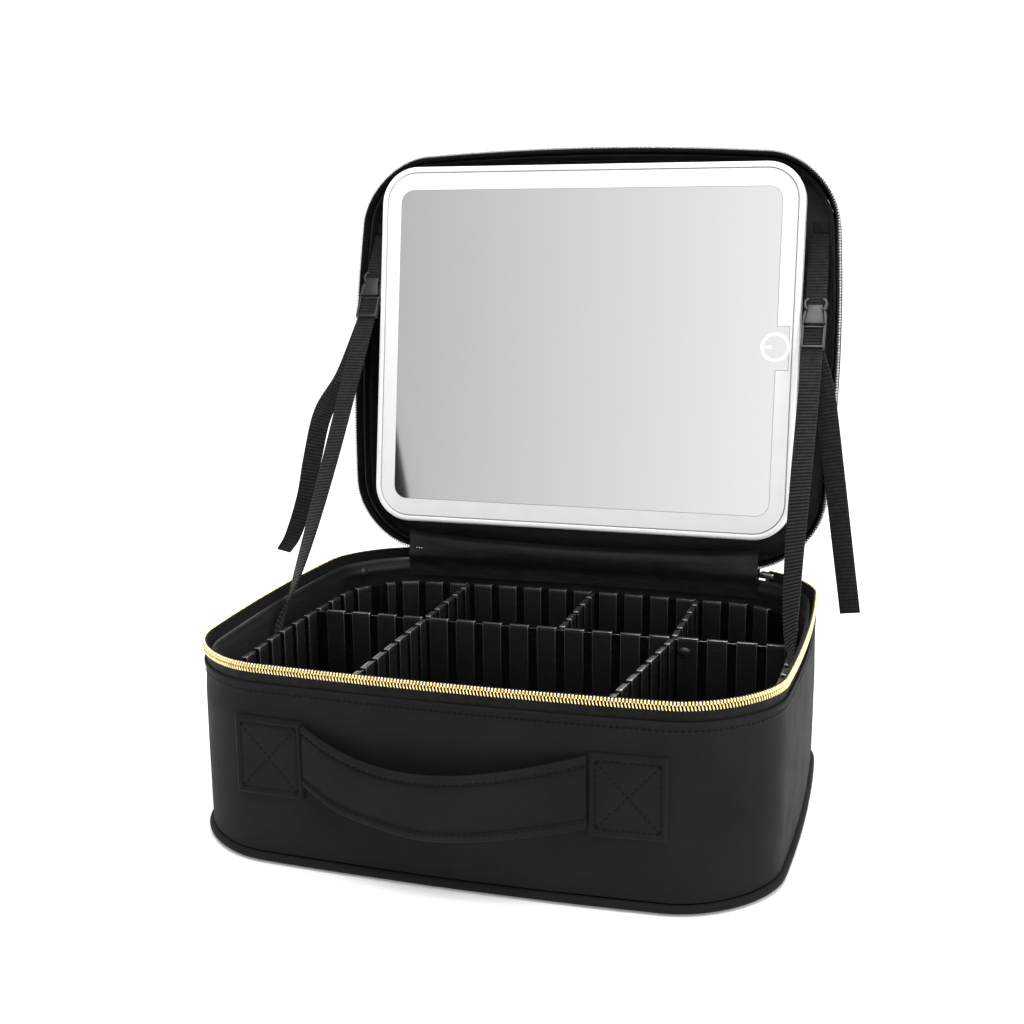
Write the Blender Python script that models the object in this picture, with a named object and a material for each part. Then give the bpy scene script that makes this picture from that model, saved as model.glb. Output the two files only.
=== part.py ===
"""Soft-sided makeup train case, open at rest, with a lit mirror in its lid and a divided tray in its base.

Metres, +Z up, +X to the right of someone facing the case, front towards -Y.
The origin is on the floor under the middle of the base. The lid and everything on it is built closed,
over the base, and then turned open about the hinge line.
"""

import math

import bmesh
import bpy
from mathutils import Matrix, Vector

# Case outline: a rounded rectangle whose sides bow outwards between the corners.
CASE_WIDTH = 0.258
CASE_DEPTH = 0.214
CORNER_RADIUS = 0.040
LID_CORNER_RADIUS = 0.034
SIDE_BOW = 0.006
CORNER_STEPS = 6
SIDE_STEPS = 4

# Walls and skins.
CLEARANCE = 0.0003
WALL = 0.003
LINING_OUT = 0.0033
LINING_IN = 0.0043
PANEL_INSET = 0.0018
PIPING_OUT = -0.0028
PIPING_IN = 0.0015
BASE_WALL_Z = (0.0051, 0.0865)
BASE_PANEL_Z = (0.0, 0.003)
BASE_PIPING_Z = (0.0006, 0.0048)
BASE_LINING_Z = (0.0034, 0.0862)

# Zip: tape and teeth of each half, and where the sliders are parked.
TAPE_INSETS = (0.0002, 0.0018)
TEETH_INSETS = (-0.0006, 0.0024)
BASE_TAPE_Z = (0.0868, 0.0884)
BASE_TEETH_Z = (0.0887, 0.0907)
LID_TEETH_Z = (0.0911, 0.0931)
LID_TAPE_Z = (0.0934, 0.0950)
ZIP_GAP = (-0.098, 0.105)
SLIDER_ANGLES = {"left": math.radians(82), "right": math.radians(68)}
SLIDER_SIZE = (0.009, 0.0045, 0.0034)
PULL_SIZE = (0.005, 0.001, 0.022)
SLIDER_INSET = 0.0010
PULL_INSET = -0.0012
PULL_AXIS_Z = 0.0868

# Lid, in closed heights, and the hinge line that it turns about.
LID_WALL_Z = (0.0953, 0.1139)
LID_PIPING_Z = (0.1142, 0.1184)
LID_PANEL_Z = (0.1160, 0.1190)
LID_LINING_Z = (0.0955, 0.1149)
LID_LINING_PANEL_Z = (0.1152, 0.1157)
HINGE_LINE = Vector((0.0, 0.1067, 0.0947))
LID_OPEN = math.radians(98.2)

# Hinge strips: y, z, and the share of each point that belongs to the lid.
HINGE_STEPS = 10
SPINE_HALF = 0.0905
FLAP_HALF = 0.0915
SPINE_PATH = (
    (0.1139, 0.0740, 0.0),
    (0.1139, 0.0822, 0.0),
    (0.1145, 0.0840, 0.3),
    (0.1158, 0.0853, 0.7),
    (0.1180, 0.0857, 1.0),
    (0.1222, 0.0851, 1.0),
)
SPINE_THICKNESS = 0.0010
FLAP_PATH = (
    (0.1076, 0.0760, 0.0),
    (0.1072, 0.0835, 0.0),
    (0.1050, 0.0868, 0.3),
    (0.1042, 0.0905, 0.8),
    (0.1046, 0.0945, 1.0),
    (0.1066, 0.0975, 1.0),
)
FLAP_THICKNESS = 0.0008

# Mirror unit, in closed heights: it stands proud of the lid's rim.
MIRROR_CENTRE_Y = -0.0043
MIRROR_HALF = (0.1157, 0.09785)
MIRROR_RADIUS = 0.020
MIRROR_BACK_Z = 0.0905
MIRROR_FLOOR_Z = 0.0828
MIRROR_FRONT_Z = 0.0790
BEZEL = 0.003
GLASS_HALF = (0.1042, 0.0850)
GLASS_RADIUS = 0.006
GLASS_Z = (0.0793, 0.0825)
TOUCH_Y = (-0.0178, 0.0047)
TOUCH_RING_CENTRE = (0.1038, -0.0071)
TOUCH_RING_RADII = (0.0065, 0.0075)
TOUCH_RING_Z = (0.0786, 0.0790)
MOUNT_PAD_HALF = (0.100, 0.083)
MOUNT_PAD_Z = (0.0908, 0.1149)

# Tray insert: thin ribbed liners, a floor and loose dividers.
FLOOR_Z = (0.0034, 0.0050)
FLOOR_INSET = 0.0047
INSERT_INSET = 0.0085
INSERT_CORE = 0.001
INSERT_PAD = 0.002
INSERT_Z = (0.0054, 0.0735)
DIVIDER_Z = (0.0056, 0.0740)
DIVIDER_CORE = 0.0012
DIVIDER_PAD = 0.0009
RIB_PITCH = 0.0144
RIB_WIDTH = 0.0105
GROOVE_X = 0.0096
LONG_DIVIDER_Y = 0.030
CORNER_GAP = 0.0006
PAD_MARGIN = 0.004
DIVIDER_GAP = 0.0005
CROSS_DIVIDERS = {
    "divider_front_left": ("front", GROOVE_X - 5 * RIB_PITCH, GROOVE_X - 5 * RIB_PITCH),
    "divider_front_right": ("front", GROOVE_X + 3 * RIB_PITCH, GROOVE_X + 4 * RIB_PITCH),
    "divider_back_left": ("back", GROOVE_X - 5 * RIB_PITCH, GROOVE_X - 5 * RIB_PITCH),
    "divider_back_middle": ("back", GROOVE_X, GROOVE_X),
    "divider_back_right": ("back", GROOVE_X + 4 * RIB_PITCH, GROOVE_X + 4 * RIB_PITCH),
}

# Handle: two sewn tabs and a slack band between them.
HANDLE_X = -0.004
TAB_OFFSET = 0.079
TAB_WIDTH = 0.033
TAB_Z = (0.032, 0.068)
TAB_THICKNESS = 0.0023
TAB_STEPS = 4
BAND_HALF = 0.0622
BAND_STEPS = 12
BAND_THICKNESS = 0.0026
BAND_STANDOFF = 0.0018
BAND_BOW = 0.0105
BAND_SAG = 0.009
BAND_END_Z = 0.050
BAND_HEIGHTS = (0.034, 0.030)

# Lid straps: webbing from inside the lid to inside the base, with a side-release buckle each.
WEBBING_WIDTH = 0.0105
WEBBING_THICKNESS = 0.0012
STRAP_X = 0.1231
STRAP_TOP_X = 0.1220
LID_ANCHOR = Vector((0.0, 0.1370, 0.2675))
LINK_DIRECTION = Vector((0.0, -0.535, -0.845)).normalized()
BUCKLE_START = {"left": 0.026, "right": 0.040}
UPPER_WEBBING_START = 0.002
FEMALE_LENGTH = 0.015
MALE_LENGTH = 0.013
BUCKLE_WIDTH = 0.0122
FEMALE_THICKNESS = 0.005
MALE_THICKNESS = 0.0036
SOCKET_WALL = 0.0019
WAIST_DEPTH = 0.0012
WAIST_Y = (0.005, 0.008, 0.011)
POCKET_SPARE = 0.002
PRONG_ROOT = 0.004
PRONG_LENGTH = 0.010
PRONG_WIDTH = 0.0022
PRONG_THICKNESS = 0.0018
# |x|, y, z and twist of the lower webbing, on its way down to the seam on the base lining.
STRAP_FALL = (
    (0.1236, 0.085, 0.191, math.radians(2)),
    (0.1238, 0.054, 0.151, math.radians(12)),
    (0.1244, 0.026, 0.116, math.radians(28)),
    (0.1258, 0.006, 0.091, math.radians(50)),
    (0.1282, -0.006, 0.0755, math.radians(80)),
    (0.1283, -0.0100, 0.0640, math.radians(90)),
)
SEAM_PATCH = (0.0009, 0.010, 0.009)
SEAM_PATCH_PLACE = (0.12965, -0.0105, 0.0640)
LID_TAB = (0.0080, 0.0016, 0.006)
LID_TAB_BACK = 0.0025
TAIL_PATHS = {
    "left": (
        (-0.1330, 0.0900, 0.1829),
        (-0.1429, 0.0815, 0.1475),
        (-0.1509, 0.0770, 0.1190),
        (-0.1615, 0.0740, 0.0950),
    ),
    "right": (
        (0.1304, 0.0960, 0.1880),
        (0.1372, 0.0870, 0.1500),
        (0.1432, 0.0810, 0.1130),
        (0.1486, 0.0770, 0.0790),
    ),
}
TAIL_TWIST = {"left": math.radians(-55), "right": math.radians(12)}
TAIL_BEHIND = 0.0016
TAIL_SHIFT = 0.0010
TAIL_DROP = 0.0016
SIDES = {"left": -1, "right": 1}

# name: (colour, roughness, metallic)
MATERIALS = {
    "outer_leather": ((0.018, 0.018, 0.020), 0.55, 0.0),
    "satin_lining": ((0.010, 0.010, 0.011), 0.45, 0.0),
    "zip_tape": ((0.012, 0.012, 0.013), 0.80, 0.0),
    "gold_teeth": ((0.83, 0.62, 0.25), 0.28, 1.0),
    "silver_teeth": ((0.72, 0.72, 0.74), 0.30, 1.0),
    "slider_metal": ((0.70, 0.62, 0.42), 0.30, 1.0),
    "insert_plastic": ((0.016, 0.016, 0.017), 0.28, 0.0),
    "webbing": ((0.012, 0.012, 0.013), 0.75, 0.0),
    "buckle_plastic": ((0.015, 0.015, 0.016), 0.40, 0.0),
    "white_bezel": ((0.86, 0.86, 0.87), 0.30, 0.0),
    "light_frame": ((0.92, 0.92, 0.92), 0.50, 0.0),
    "mirror_glass": ((0.80, 0.81, 0.82), 0.04, 1.0),
    "touch_print": ((0.95, 0.95, 0.95), 0.40, 0.0),
}


# ---------------------------------------------------------------- scene and mesh helpers


def clear_scene():
    for obj in list(bpy.data.objects):
        bpy.data.objects.remove(obj, do_unlink=True)


def make_materials():
    for name, (colour, roughness, metallic) in MATERIALS.items():
        material = bpy.data.materials.new(name)
        material.use_nodes = True
        shader = material.node_tree.nodes["Principled BSDF"]
        shader.inputs["Base Color"].default_value = (*colour, 1.0)
        shader.inputs["Roughness"].default_value = roughness
        shader.inputs["Metallic"].default_value = metallic
        material.diffuse_color = (*colour, 1.0)


def loft(name, loops, material, closed=False):
    """One closed body through a list of loops of equal length, capped at both ends unless it closes on itself."""
    mesh = bmesh.new()
    rows = [[mesh.verts.new(point) for point in loop] for loop in loops]
    last = len(rows) if closed else len(rows) - 1
    for index in range(last):
        here, there = rows[index], rows[(index + 1) % len(rows)]
        for side in range(len(here)):
            after = (side + 1) % len(here)
            mesh.faces.new((here[side], here[after], there[after], there[side]))
    if not closed:
        mesh.faces.new(rows[0])
        mesh.faces.new(rows[-1])
    bmesh.ops.recalc_face_normals(mesh, faces=mesh.faces)
    data = bpy.data.meshes.new(name)
    mesh.to_mesh(data)
    mesh.free()
    data.materials.append(bpy.data.materials[material])
    obj = bpy.data.objects.new(name, data)
    bpy.context.scene.collection.objects.link(obj)
    return obj


def at_height(points, z):
    return [(x, y, z) for x, y in points]


def prism(name, outline, heights, material):
    return loft(name, [at_height(outline, z) for z in heights], material)


def ring(name, outer, inner, heights, material):
    low, high = heights
    loops = [at_height(outer, low), at_height(outer, high), at_height(inner, high), at_height(inner, low)]
    return loft(name, loops, material, closed=True)


def box(name, size, material, placement):
    """A box of the given size about the origin, put in place by a matrix."""
    x, y, z = (side / 2 for side in size)
    corners = [(-x, -y), (x, -y), (x, y), (-x, y)]
    obj = prism(name, corners, (-z, z), material)
    obj.data.transform(placement)
    return obj


def join_to(obj, joint, position):
    """Parents the object to an empty on its joint's axis, made on first use."""
    empty = bpy.data.objects.get(joint)
    if empty is None:
        empty = bpy.data.objects.new(joint, None)
        empty.location = position
        bpy.context.scene.collection.objects.link(empty)
    obj.parent = empty
    obj.matrix_parent_inverse = Matrix.Translation(position).inverted()


# ---------------------------------------------------------------- outlines


def bow(across, half):
    """How far a side bows out at a distance across from its middle."""
    return SIDE_BOW * (1 - (across / half) ** 2)


def case_outline(inset, corner=CORNER_RADIUS):
    """The case's plan outline, inset from the outer face, anticlockwise from the front of the right side."""
    half_x, half_y = CASE_WIDTH / 2 - inset, CASE_DEPTH / 2 - inset
    radius = corner - inset
    points = []
    for quarter, (sx, sy) in enumerate(((1, 1), (-1, 1), (-1, -1), (1, -1))):
        centre_x, centre_y = sx * (half_x - radius), sy * (half_y - radius)
        for step in range(CORNER_STEPS + 1):
            angle = math.radians(90) * (quarter + step / CORNER_STEPS)
            points.append((centre_x + radius * math.cos(angle), centre_y + radius * math.sin(angle)))
        next_x, next_y = ((-1, 1), (-1, -1), (1, -1), (1, 1))[quarter]
        ahead = (next_x * (half_x - radius), next_y * (half_y - radius))
        start = points[-1]
        offset = (start[0] - centre_x, start[1] - centre_y)
        for step in range(1, SIDE_STEPS):
            share = step / SIDE_STEPS
            points.append(
                (
                    start[0] + (ahead[0] + offset[0] - start[0]) * share,
                    start[1] + (ahead[1] + offset[1] - start[1]) * share,
                )
            )
    return [bowed(x, y, half_x, half_y, radius) for x, y in points]


def lid_outline(inset):
    return case_outline(inset, LID_CORNER_RADIUS)


def bowed(x, y, half_x, half_y, radius):
    """Moves a point of the rounded rectangle out by its side's bow, which fades round the corners."""
    to_side = min(max((abs(x) - (half_x - radius)) / radius, 0), 1)
    to_end = min(max((abs(y) - (half_y - radius)) / radius, 0), 1)
    return (
        x + math.copysign(bow(y, half_y), x) * to_side,
        y + math.copysign(bow(x, half_x), y) * to_end,
    )


def rounded_rectangle(half, radius, steps=5, centre_y=MIRROR_CENTRE_Y):
    """Anticlockwise from the upper end of the right side to the lower end of the same side."""
    points = []
    for quarter, (sx, sy) in enumerate(((1, 1), (-1, 1), (-1, -1), (1, -1))):
        centre = (sx * (half[0] - radius), sy * (half[1] - radius) + centre_y)
        for step in range(steps + 1):
            angle = math.radians(90) * (quarter + step / steps)
            points.append((centre[0] + radius * math.cos(angle), centre[1] + radius * math.sin(angle)))
    return points


def front_y(x):
    return -(CASE_DEPTH / 2 + bow(x, CASE_WIDTH / 2))


def back_y(x, inset=0.0):
    return CASE_DEPTH / 2 - inset + bow(x, CASE_WIDTH / 2)


def zip_track(name, insets, heights, material, corner=CORNER_RADIUS):
    """A strip along the front and sides, ending at each back corner."""
    outer, inner = (case_outline(inset, corner) for inset in insets)
    low, high = heights
    last = len(outer)
    gap = [i for i in range(last) if outer[i][1] > 0 and ZIP_GAP[0] < outer[i][0] < ZIP_GAP[1]]
    order = [i % last for i in range(gap[-1] + 1, gap[0] + last)]
    loops = [
        [(*outer[i], low), (*outer[i], high), (*inner[i], high), (*inner[i], low)]
        for i in order
    ]
    return loft(name, loops, material)


# ---------------------------------------------------------------- base shell


def build_base_shell():
    ring("base_wall", case_outline(0), case_outline(WALL), BASE_WALL_Z, "outer_leather")
    prism("base_bottom_panel", case_outline(PANEL_INSET), BASE_PANEL_Z, "outer_leather")
    ring("base_piping", case_outline(PIPING_OUT), case_outline(PIPING_IN), BASE_PIPING_Z, "outer_leather")
    ring("base_lining", case_outline(LINING_OUT), case_outline(LINING_IN), BASE_LINING_Z, "satin_lining")
    zip_track("base_zip_tape", TAPE_INSETS, BASE_TAPE_Z, "zip_tape")
    zip_track("base_zip_teeth", TEETH_INSETS, BASE_TEETH_Z, "gold_teeth")


def corner_point(side, inset, angle):
    """A point at an angle round a back corner of the case outline, for side -1 or 1."""
    radius = CORNER_RADIUS - inset
    half_x, half_y = CASE_WIDTH / 2 - inset, CASE_DEPTH / 2 - inset
    x = half_x - radius + radius * math.cos(angle)
    y = half_y - radius + radius * math.sin(angle)
    x, y = bowed(x, y, half_x, half_y, radius)
    return side * x, y


def build_sliders():
    """The two sliders parked at the hinge ends of the zip, and the pull tab that swings on each."""
    for name, side in SIDES.items():
        angle = SLIDER_ANGLES[name]
        spin = Matrix.Rotation(side * (angle - math.radians(90)), 4, "Z")
        x, y = corner_point(side, SLIDER_INSET, angle)
        middle_z = BASE_TAPE_Z[0] + SLIDER_SIZE[2] / 2
        box(f"zip_slider_{name}", SLIDER_SIZE, "slider_metal", Matrix.Translation((x, y, middle_z)) @ spin)
        x, y = corner_point(side, PULL_INSET, angle)
        hang = PULL_AXIS_Z - CLEARANCE - PULL_SIZE[2] / 2
        pull = box(f"zip_pull_{name}", PULL_SIZE, "slider_metal", Matrix.Translation((x, y, hang)) @ spin)
        join_to(pull, f"zip_pull_{name}_swing", Vector((x, y, PULL_AXIS_Z)))


def fold_strip(name, path, half, thickness, material):
    """A strip across the back, from the base to the lid, folded along a path in the YZ plane.

    Each path point holds y, z and the share of it that belongs to the lid. Away from the middle the base's
    side bows forwards and the open lid's side bows upwards, and the strip follows whichever it belongs to.
    """
    rows = []
    for step in range(HINGE_STEPS + 1):
        x = half * (2 * step / HINGE_STEPS - 1)
        lost = SIDE_BOW - bow(x, CASE_WIDTH / 2)
        line = [Vector((x, y - (1 - lid) * lost, z + lid * lost)) for y, z, lid in path]
        halves = [
            direction_at(line, i).cross(Vector((1, 0, 0))).normalized() * thickness / 2
            for i in range(len(line))
        ]
        one = [point + half for point, half in zip(line, halves)]
        other = [point - half for point, half in zip(line, halves)]
        rows.append(one + other[::-1])
    loft(name, rows, material)


def build_hinge():
    """The hinge is the case's own leather outside and a satin flap inside, both sewn to base and lid."""
    fold_strip("hinge_spine", SPINE_PATH, SPINE_HALF, SPINE_THICKNESS, "outer_leather")
    fold_strip("hinge_flap", FLAP_PATH, FLAP_HALF, FLAP_THICKNESS, "satin_lining")


def direction_at(line, index):
    """The direction of a path at one of its points."""
    return (line[min(index + 1, len(line) - 1)] - line[max(index - 1, 0)]).normalized()


# ---------------------------------------------------------------- tray insert


def along(points):
    """Running length at each point of a path, counted from the middle of the path."""
    lengths = [0.0]
    for one, other in zip(points, points[1:]):
        lengths.append(lengths[-1] + math.dist(one, other))
    return [length - lengths[-1] / 2 for length in lengths]


def place(points, lengths, where, offset):
    """The point at a running length along a path, moved to the path's left by an offset."""
    index = next((i for i in range(1, len(lengths)) if where <= lengths[i]), len(lengths) - 1)
    start, end = Vector(points[index - 1]), Vector(points[index])
    share = (where - lengths[index - 1]) / (lengths[index] - lengths[index - 1])
    left = Vector((start.y - end.y, end.x - start.x)).normalized()
    spot = start.lerp(end, share) + left * offset
    return spot.x, spot.y


def pads_between(low, high, first_centre):
    """The spans of the raised pads on a rib grid that fit between two running lengths."""
    spans = []
    for step in range(-12, 13):
        centre = first_centre + step * RIB_PITCH
        start = max(centre - RIB_WIDTH / 2, low)
        end = min(centre + RIB_WIDTH / 2, high)
        if end - start > RIB_WIDTH / 3:
            spans.append((start, end))
    return spans


def ribbed_edge(low, high, spans, core, pad):
    """(running length, offset) of one face of a ribbed sheet."""
    edge = [(low, core)]
    for start, end in spans:
        edge += [(start, core), (start, core + pad), (end, core + pad), (end, core)]
    return edge + [(high, core)]


def wall_path(inset, turn):
    """The outline of one side of the case from corner middle to corner middle, with the inside on its left."""
    outline = case_outline(inset)
    per_side = CORNER_STEPS + SIDE_STEPS
    start = turn * per_side + CORNER_STEPS // 2
    return [outline[(start + i) % len(outline)] for i in range(per_side + 1)]


def build_insert_wall(name, turn, first_centre):
    path = wall_path(INSERT_INSET, turn)
    lengths = along(path)
    low, high = lengths[0] + CORNER_GAP, lengths[-1] - CORNER_GAP
    spans = pads_between(low + PAD_MARGIN, high - PAD_MARGIN, first_centre)
    inner = ribbed_edge(low, high, spans, INSERT_CORE, INSERT_PAD)
    back = [low] + [s for s in lengths if low < s < high] + [high]
    plan = [place(path, lengths, s, 0.0) for s in back]
    plan += [place(path, lengths, s, offset) for s, offset in reversed(inner)]
    prism(name, plan, INSERT_Z, "insert_plastic")


def build_insert():
    """The four liners and the floor. Each liner's ribs keep a groove in line with the dividers."""
    half_pitch = RIB_PITCH / 2
    build_insert_wall("insert_back_wall", 0, -GROOVE_X + half_pitch)
    build_insert_wall("insert_left_wall", 1, -LONG_DIVIDER_Y + half_pitch)
    build_insert_wall("insert_front_wall", 2, GROOVE_X + half_pitch)
    build_insert_wall("insert_right_wall", 3, LONG_DIVIDER_Y + half_pitch)
    prism("insert_floor", case_outline(FLOOR_INSET), FLOOR_Z, "insert_plastic")


def build_divider(name, start, end, first_centre, pad_low, pad_high):
    """A straight sheet ribbed on both faces. The pads stop short of the walls that its ends slot into."""
    path = [start, end]
    half = math.dist(start, end) / 2
    lengths = [-half, half]
    core = DIVIDER_CORE / 2
    spans = pads_between(pad_low, pad_high, first_centre)
    edge = ribbed_edge(-half, half, spans, core, DIVIDER_PAD)
    plan = [place(path, lengths, s, -offset) for s, offset in edge]
    plan += [place(path, lengths, s, offset) for s, offset in reversed(edge)]
    divider = prism(name, plan, DIVIDER_Z, "insert_plastic")
    middle = ((start[0] + end[0]) / 2, (start[1] + end[1]) / 2, DIVIDER_Z[0])
    join_to(divider, f"{name}_lift", Vector(middle))


def build_dividers():
    groove_face = INSERT_INSET + INSERT_CORE
    pad_gap = INSERT_PAD + DIVIDER_GAP
    half = CASE_WIDTH / 2 - groove_face + bow(LONG_DIVIDER_Y, CASE_DEPTH / 2) - DIVIDER_GAP
    grid = GROOVE_X + RIB_PITCH / 2
    reach = half - pad_gap
    build_divider("divider_long", (-half, LONG_DIVIDER_Y), (half, LONG_DIVIDER_Y), grid, -reach, reach)
    for name, (row, wall_x, long_x) in CROSS_DIVIDERS.items():
        side = -1 if row == "front" else 1
        wall_end = (wall_x, side * (back_y(wall_x, groove_face) - DIVIDER_GAP))
        long_end = (long_x, LONG_DIVIDER_Y + side * (DIVIDER_CORE / 2 + DIVIDER_GAP))
        start, end = (wall_end, long_end) if row == "front" else (long_end, wall_end)
        length = math.dist(start, end)
        wall_pad, long_pad = length / 2 - pad_gap, length / 2 - DIVIDER_PAD - DIVIDER_GAP
        low, high = (-wall_pad, long_pad) if row == "front" else (-long_pad, wall_pad)
        first = side * (RIB_PITCH / 2 - length / 2 - DIVIDER_CORE / 2 - DIVIDER_GAP)
        build_divider(name, start, end, first, low, high)


# ---------------------------------------------------------------- handle


def build_handle():
    for name, side in SIDES.items():
        middle = HANDLE_X + side * TAB_OFFSET
        loops = []
        for step in range(TAB_STEPS + 1):
            x = middle + TAB_WIDTH * (step / TAB_STEPS - 0.5)
            near, far = front_y(x) - CLEARANCE, front_y(x) - TAB_THICKNESS
            loops.append([(x, near, TAB_Z[0]), (x, far, TAB_Z[0]), (x, far, TAB_Z[1]), (x, near, TAB_Z[1])])
        loft(f"handle_tab_{name}", loops, "outer_leather")
    loops = []
    for step in range(BAND_STEPS + 1):
        share = 2 * step / BAND_STEPS - 1
        x = HANDLE_X + BAND_HALF * share
        slack = 1 - share * share
        y = front_y(x) - BAND_STANDOFF - BAND_BOW * slack
        z = BAND_END_Z - BAND_SAG * slack
        height = BAND_HEIGHTS[0] + (BAND_HEIGHTS[1] - BAND_HEIGHTS[0]) * slack
        near, far = y + BAND_THICKNESS / 2, y - BAND_THICKNESS / 2
        low, high = z - height / 2, z + height / 2
        loops.append([(x, near, low), (x, far, low), (x, far, high), (x, near, high)])
    band = loft("handle_band", loops, "outer_leather")
    join_to(band, "handle_pull", Vector((HANDLE_X, front_y(HANDLE_X) - BAND_BOW, BAND_END_Z - BAND_SAG)))


# ---------------------------------------------------------------- lid and mirror


def opened(obj):
    """Turns a piece that was built on the closed lid to where it stands at rest."""
    turn = Matrix.Rotation(-LID_OPEN, 4, "X")
    obj.data.transform(Matrix.Translation(HINGE_LINE) @ turn @ Matrix.Translation(-HINGE_LINE))
    return obj


def lid_position(y, z):
    """Where a point of the closed lid stands at rest."""
    return HINGE_LINE + Matrix.Rotation(-LID_OPEN, 3, "X") @ (Vector((0, y, z)) - HINGE_LINE)


def build_lid():
    pieces = [
        ring("lid_wall", lid_outline(0), lid_outline(WALL), LID_WALL_Z, "outer_leather"),
        prism("lid_top_panel", lid_outline(PANEL_INSET), LID_PANEL_Z, "outer_leather"),
        ring("lid_piping", lid_outline(PIPING_OUT), lid_outline(PIPING_IN), LID_PIPING_Z, "outer_leather"),
        ring("lid_lining", lid_outline(LINING_OUT), lid_outline(LINING_IN), LID_LINING_Z, "satin_lining"),
        prism("lid_lining_panel", lid_outline(LINING_OUT), LID_LINING_PANEL_Z, "satin_lining"),
        zip_track("lid_zip_tape", TAPE_INSETS, LID_TAPE_Z, "zip_tape", LID_CORNER_RADIUS),
        zip_track("lid_zip_teeth", TEETH_INSETS, LID_TEETH_Z, "silver_teeth", LID_CORNER_RADIUS),
        prism("mirror_mount_pad", rounded_rectangle(MOUNT_PAD_HALF, MIRROR_RADIUS), MOUNT_PAD_Z, "satin_lining"),
    ]
    for piece in pieces:
        join_to(opened(piece), "lid_hinge", HINGE_LINE)


def glass_outline(grow):
    """The glass with the touch tab that runs out to the bezel, grown by a margin on every side."""
    half = (GLASS_HALF[0] + grow, GLASS_HALF[1] + grow)
    tab_x = MIRROR_HALF[0] - BEZEL - CLEARANCE
    low, high = TOUCH_Y[0] - grow, TOUCH_Y[1] + grow
    tab = [(half[0], low), (tab_x, low), (tab_x, high), (half[0], high)]
    return rounded_rectangle(half, GLASS_RADIUS + grow) + tab


def light_outline():
    """The lit frame round the glass: a C whose gap is the touch tab."""
    outer_half = tuple(half - BEZEL - CLEARANCE for half in MIRROR_HALF)
    inner_half = tuple(half + CLEARANCE for half in GLASS_HALF)
    low, high = TOUCH_Y[0] - CLEARANCE, TOUCH_Y[1] + CLEARANCE
    outer = rounded_rectangle(outer_half, MIRROR_RADIUS - BEZEL - CLEARANCE)
    inner = rounded_rectangle(inner_half, GLASS_RADIUS + CLEARANCE)
    start, end = [(outer_half[0], high)], [(outer_half[0], low)]
    return start + outer + end + [(inner_half[0], low)] + inner[::-1] + [(inner_half[0], high)]


def build_mirror():
    rim = rounded_rectangle(MIRROR_HALF, MIRROR_RADIUS)
    lip = rounded_rectangle(tuple(half - BEZEL for half in MIRROR_HALF), MIRROR_RADIUS - BEZEL)
    dish = [
        at_height(rim, MIRROR_BACK_Z),
        at_height(rim, MIRROR_FRONT_Z),
        at_height(lip, MIRROR_FRONT_Z),
        at_height(lip, MIRROR_FLOOR_Z),
    ]
    circle = [(math.cos(math.radians(15 * i)), math.sin(math.radians(15 * i))) for i in range(24)]
    rings = [
        [(TOUCH_RING_CENTRE[0] + r * x, TOUCH_RING_CENTRE[1] + r * y) for x, y in circle]
        for r in TOUCH_RING_RADII
    ]
    pieces = [
        loft("mirror_shell", dish, "white_bezel"),
        prism("mirror_light_frame", light_outline(), GLASS_Z, "light_frame"),
        prism("mirror_glass", glass_outline(0.0), GLASS_Z, "mirror_glass"),
        ring("touch_ring", rings[1], rings[0], TOUCH_RING_Z, "touch_print"),
    ]
    for piece in pieces:
        join_to(opened(piece), "mirror_lift_off", lid_position(MIRROR_CENTRE_Y, MIRROR_BACK_Z))


# ---------------------------------------------------------------- straps


def smooth_path(knots, steps=3):
    """A Catmull-Rom curve through the knots, which may carry a twist as a fourth number."""
    ends = [2 * knots[0] - knots[1], *knots, 2 * knots[-1] - knots[-2]]
    points = []
    for before, start, end, after in zip(ends, ends[1:], ends[2:], ends[3:]):
        for step in range(steps):
            t = step / steps
            slope = (end - before) * 0.5 * t
            bend = (2 * before - 5 * start + 4 * end - after) * 0.5 * t * t
            curl = (3 * (start - end) + after - before) * 0.5 * t**3
            points.append(start + slope + bend + curl)
    return points + [knots[-1]]


def webbing(name, path, twists):
    """A flat band along a path. Its width lies along X, turned about the path by each point's twist."""
    loops = []
    for index, (point, twist) in enumerate(zip(path, twists)):
        forward = direction_at(path, index)
        sideways = Vector((1, 0, 0)) - forward * forward.x
        width = Matrix.Rotation(twist, 3, forward) @ sideways.normalized() * (WEBBING_WIDTH / 2)
        depth = forward.cross(width).normalized() * (WEBBING_THICKNESS / 2)
        loops.append([point - width - depth, point + width - depth, point + width + depth, point - width + depth])
    return loft(name, loops, "webbing")


def link_frame(side, distance):
    """Strap axes at a distance below the lid anchor: X across, Y along the strap, Z out of its face."""
    along_link = LINK_DIRECTION
    facing = Vector((1, 0, 0)).cross(along_link)
    origin = LID_ANCHOR + along_link * distance + Vector((side * STRAP_X, 0, 0))
    frame = Matrix((Vector((1, 0, 0)), along_link, facing)).transposed().to_4x4()
    return Matrix.Translation(origin) @ frame


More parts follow.
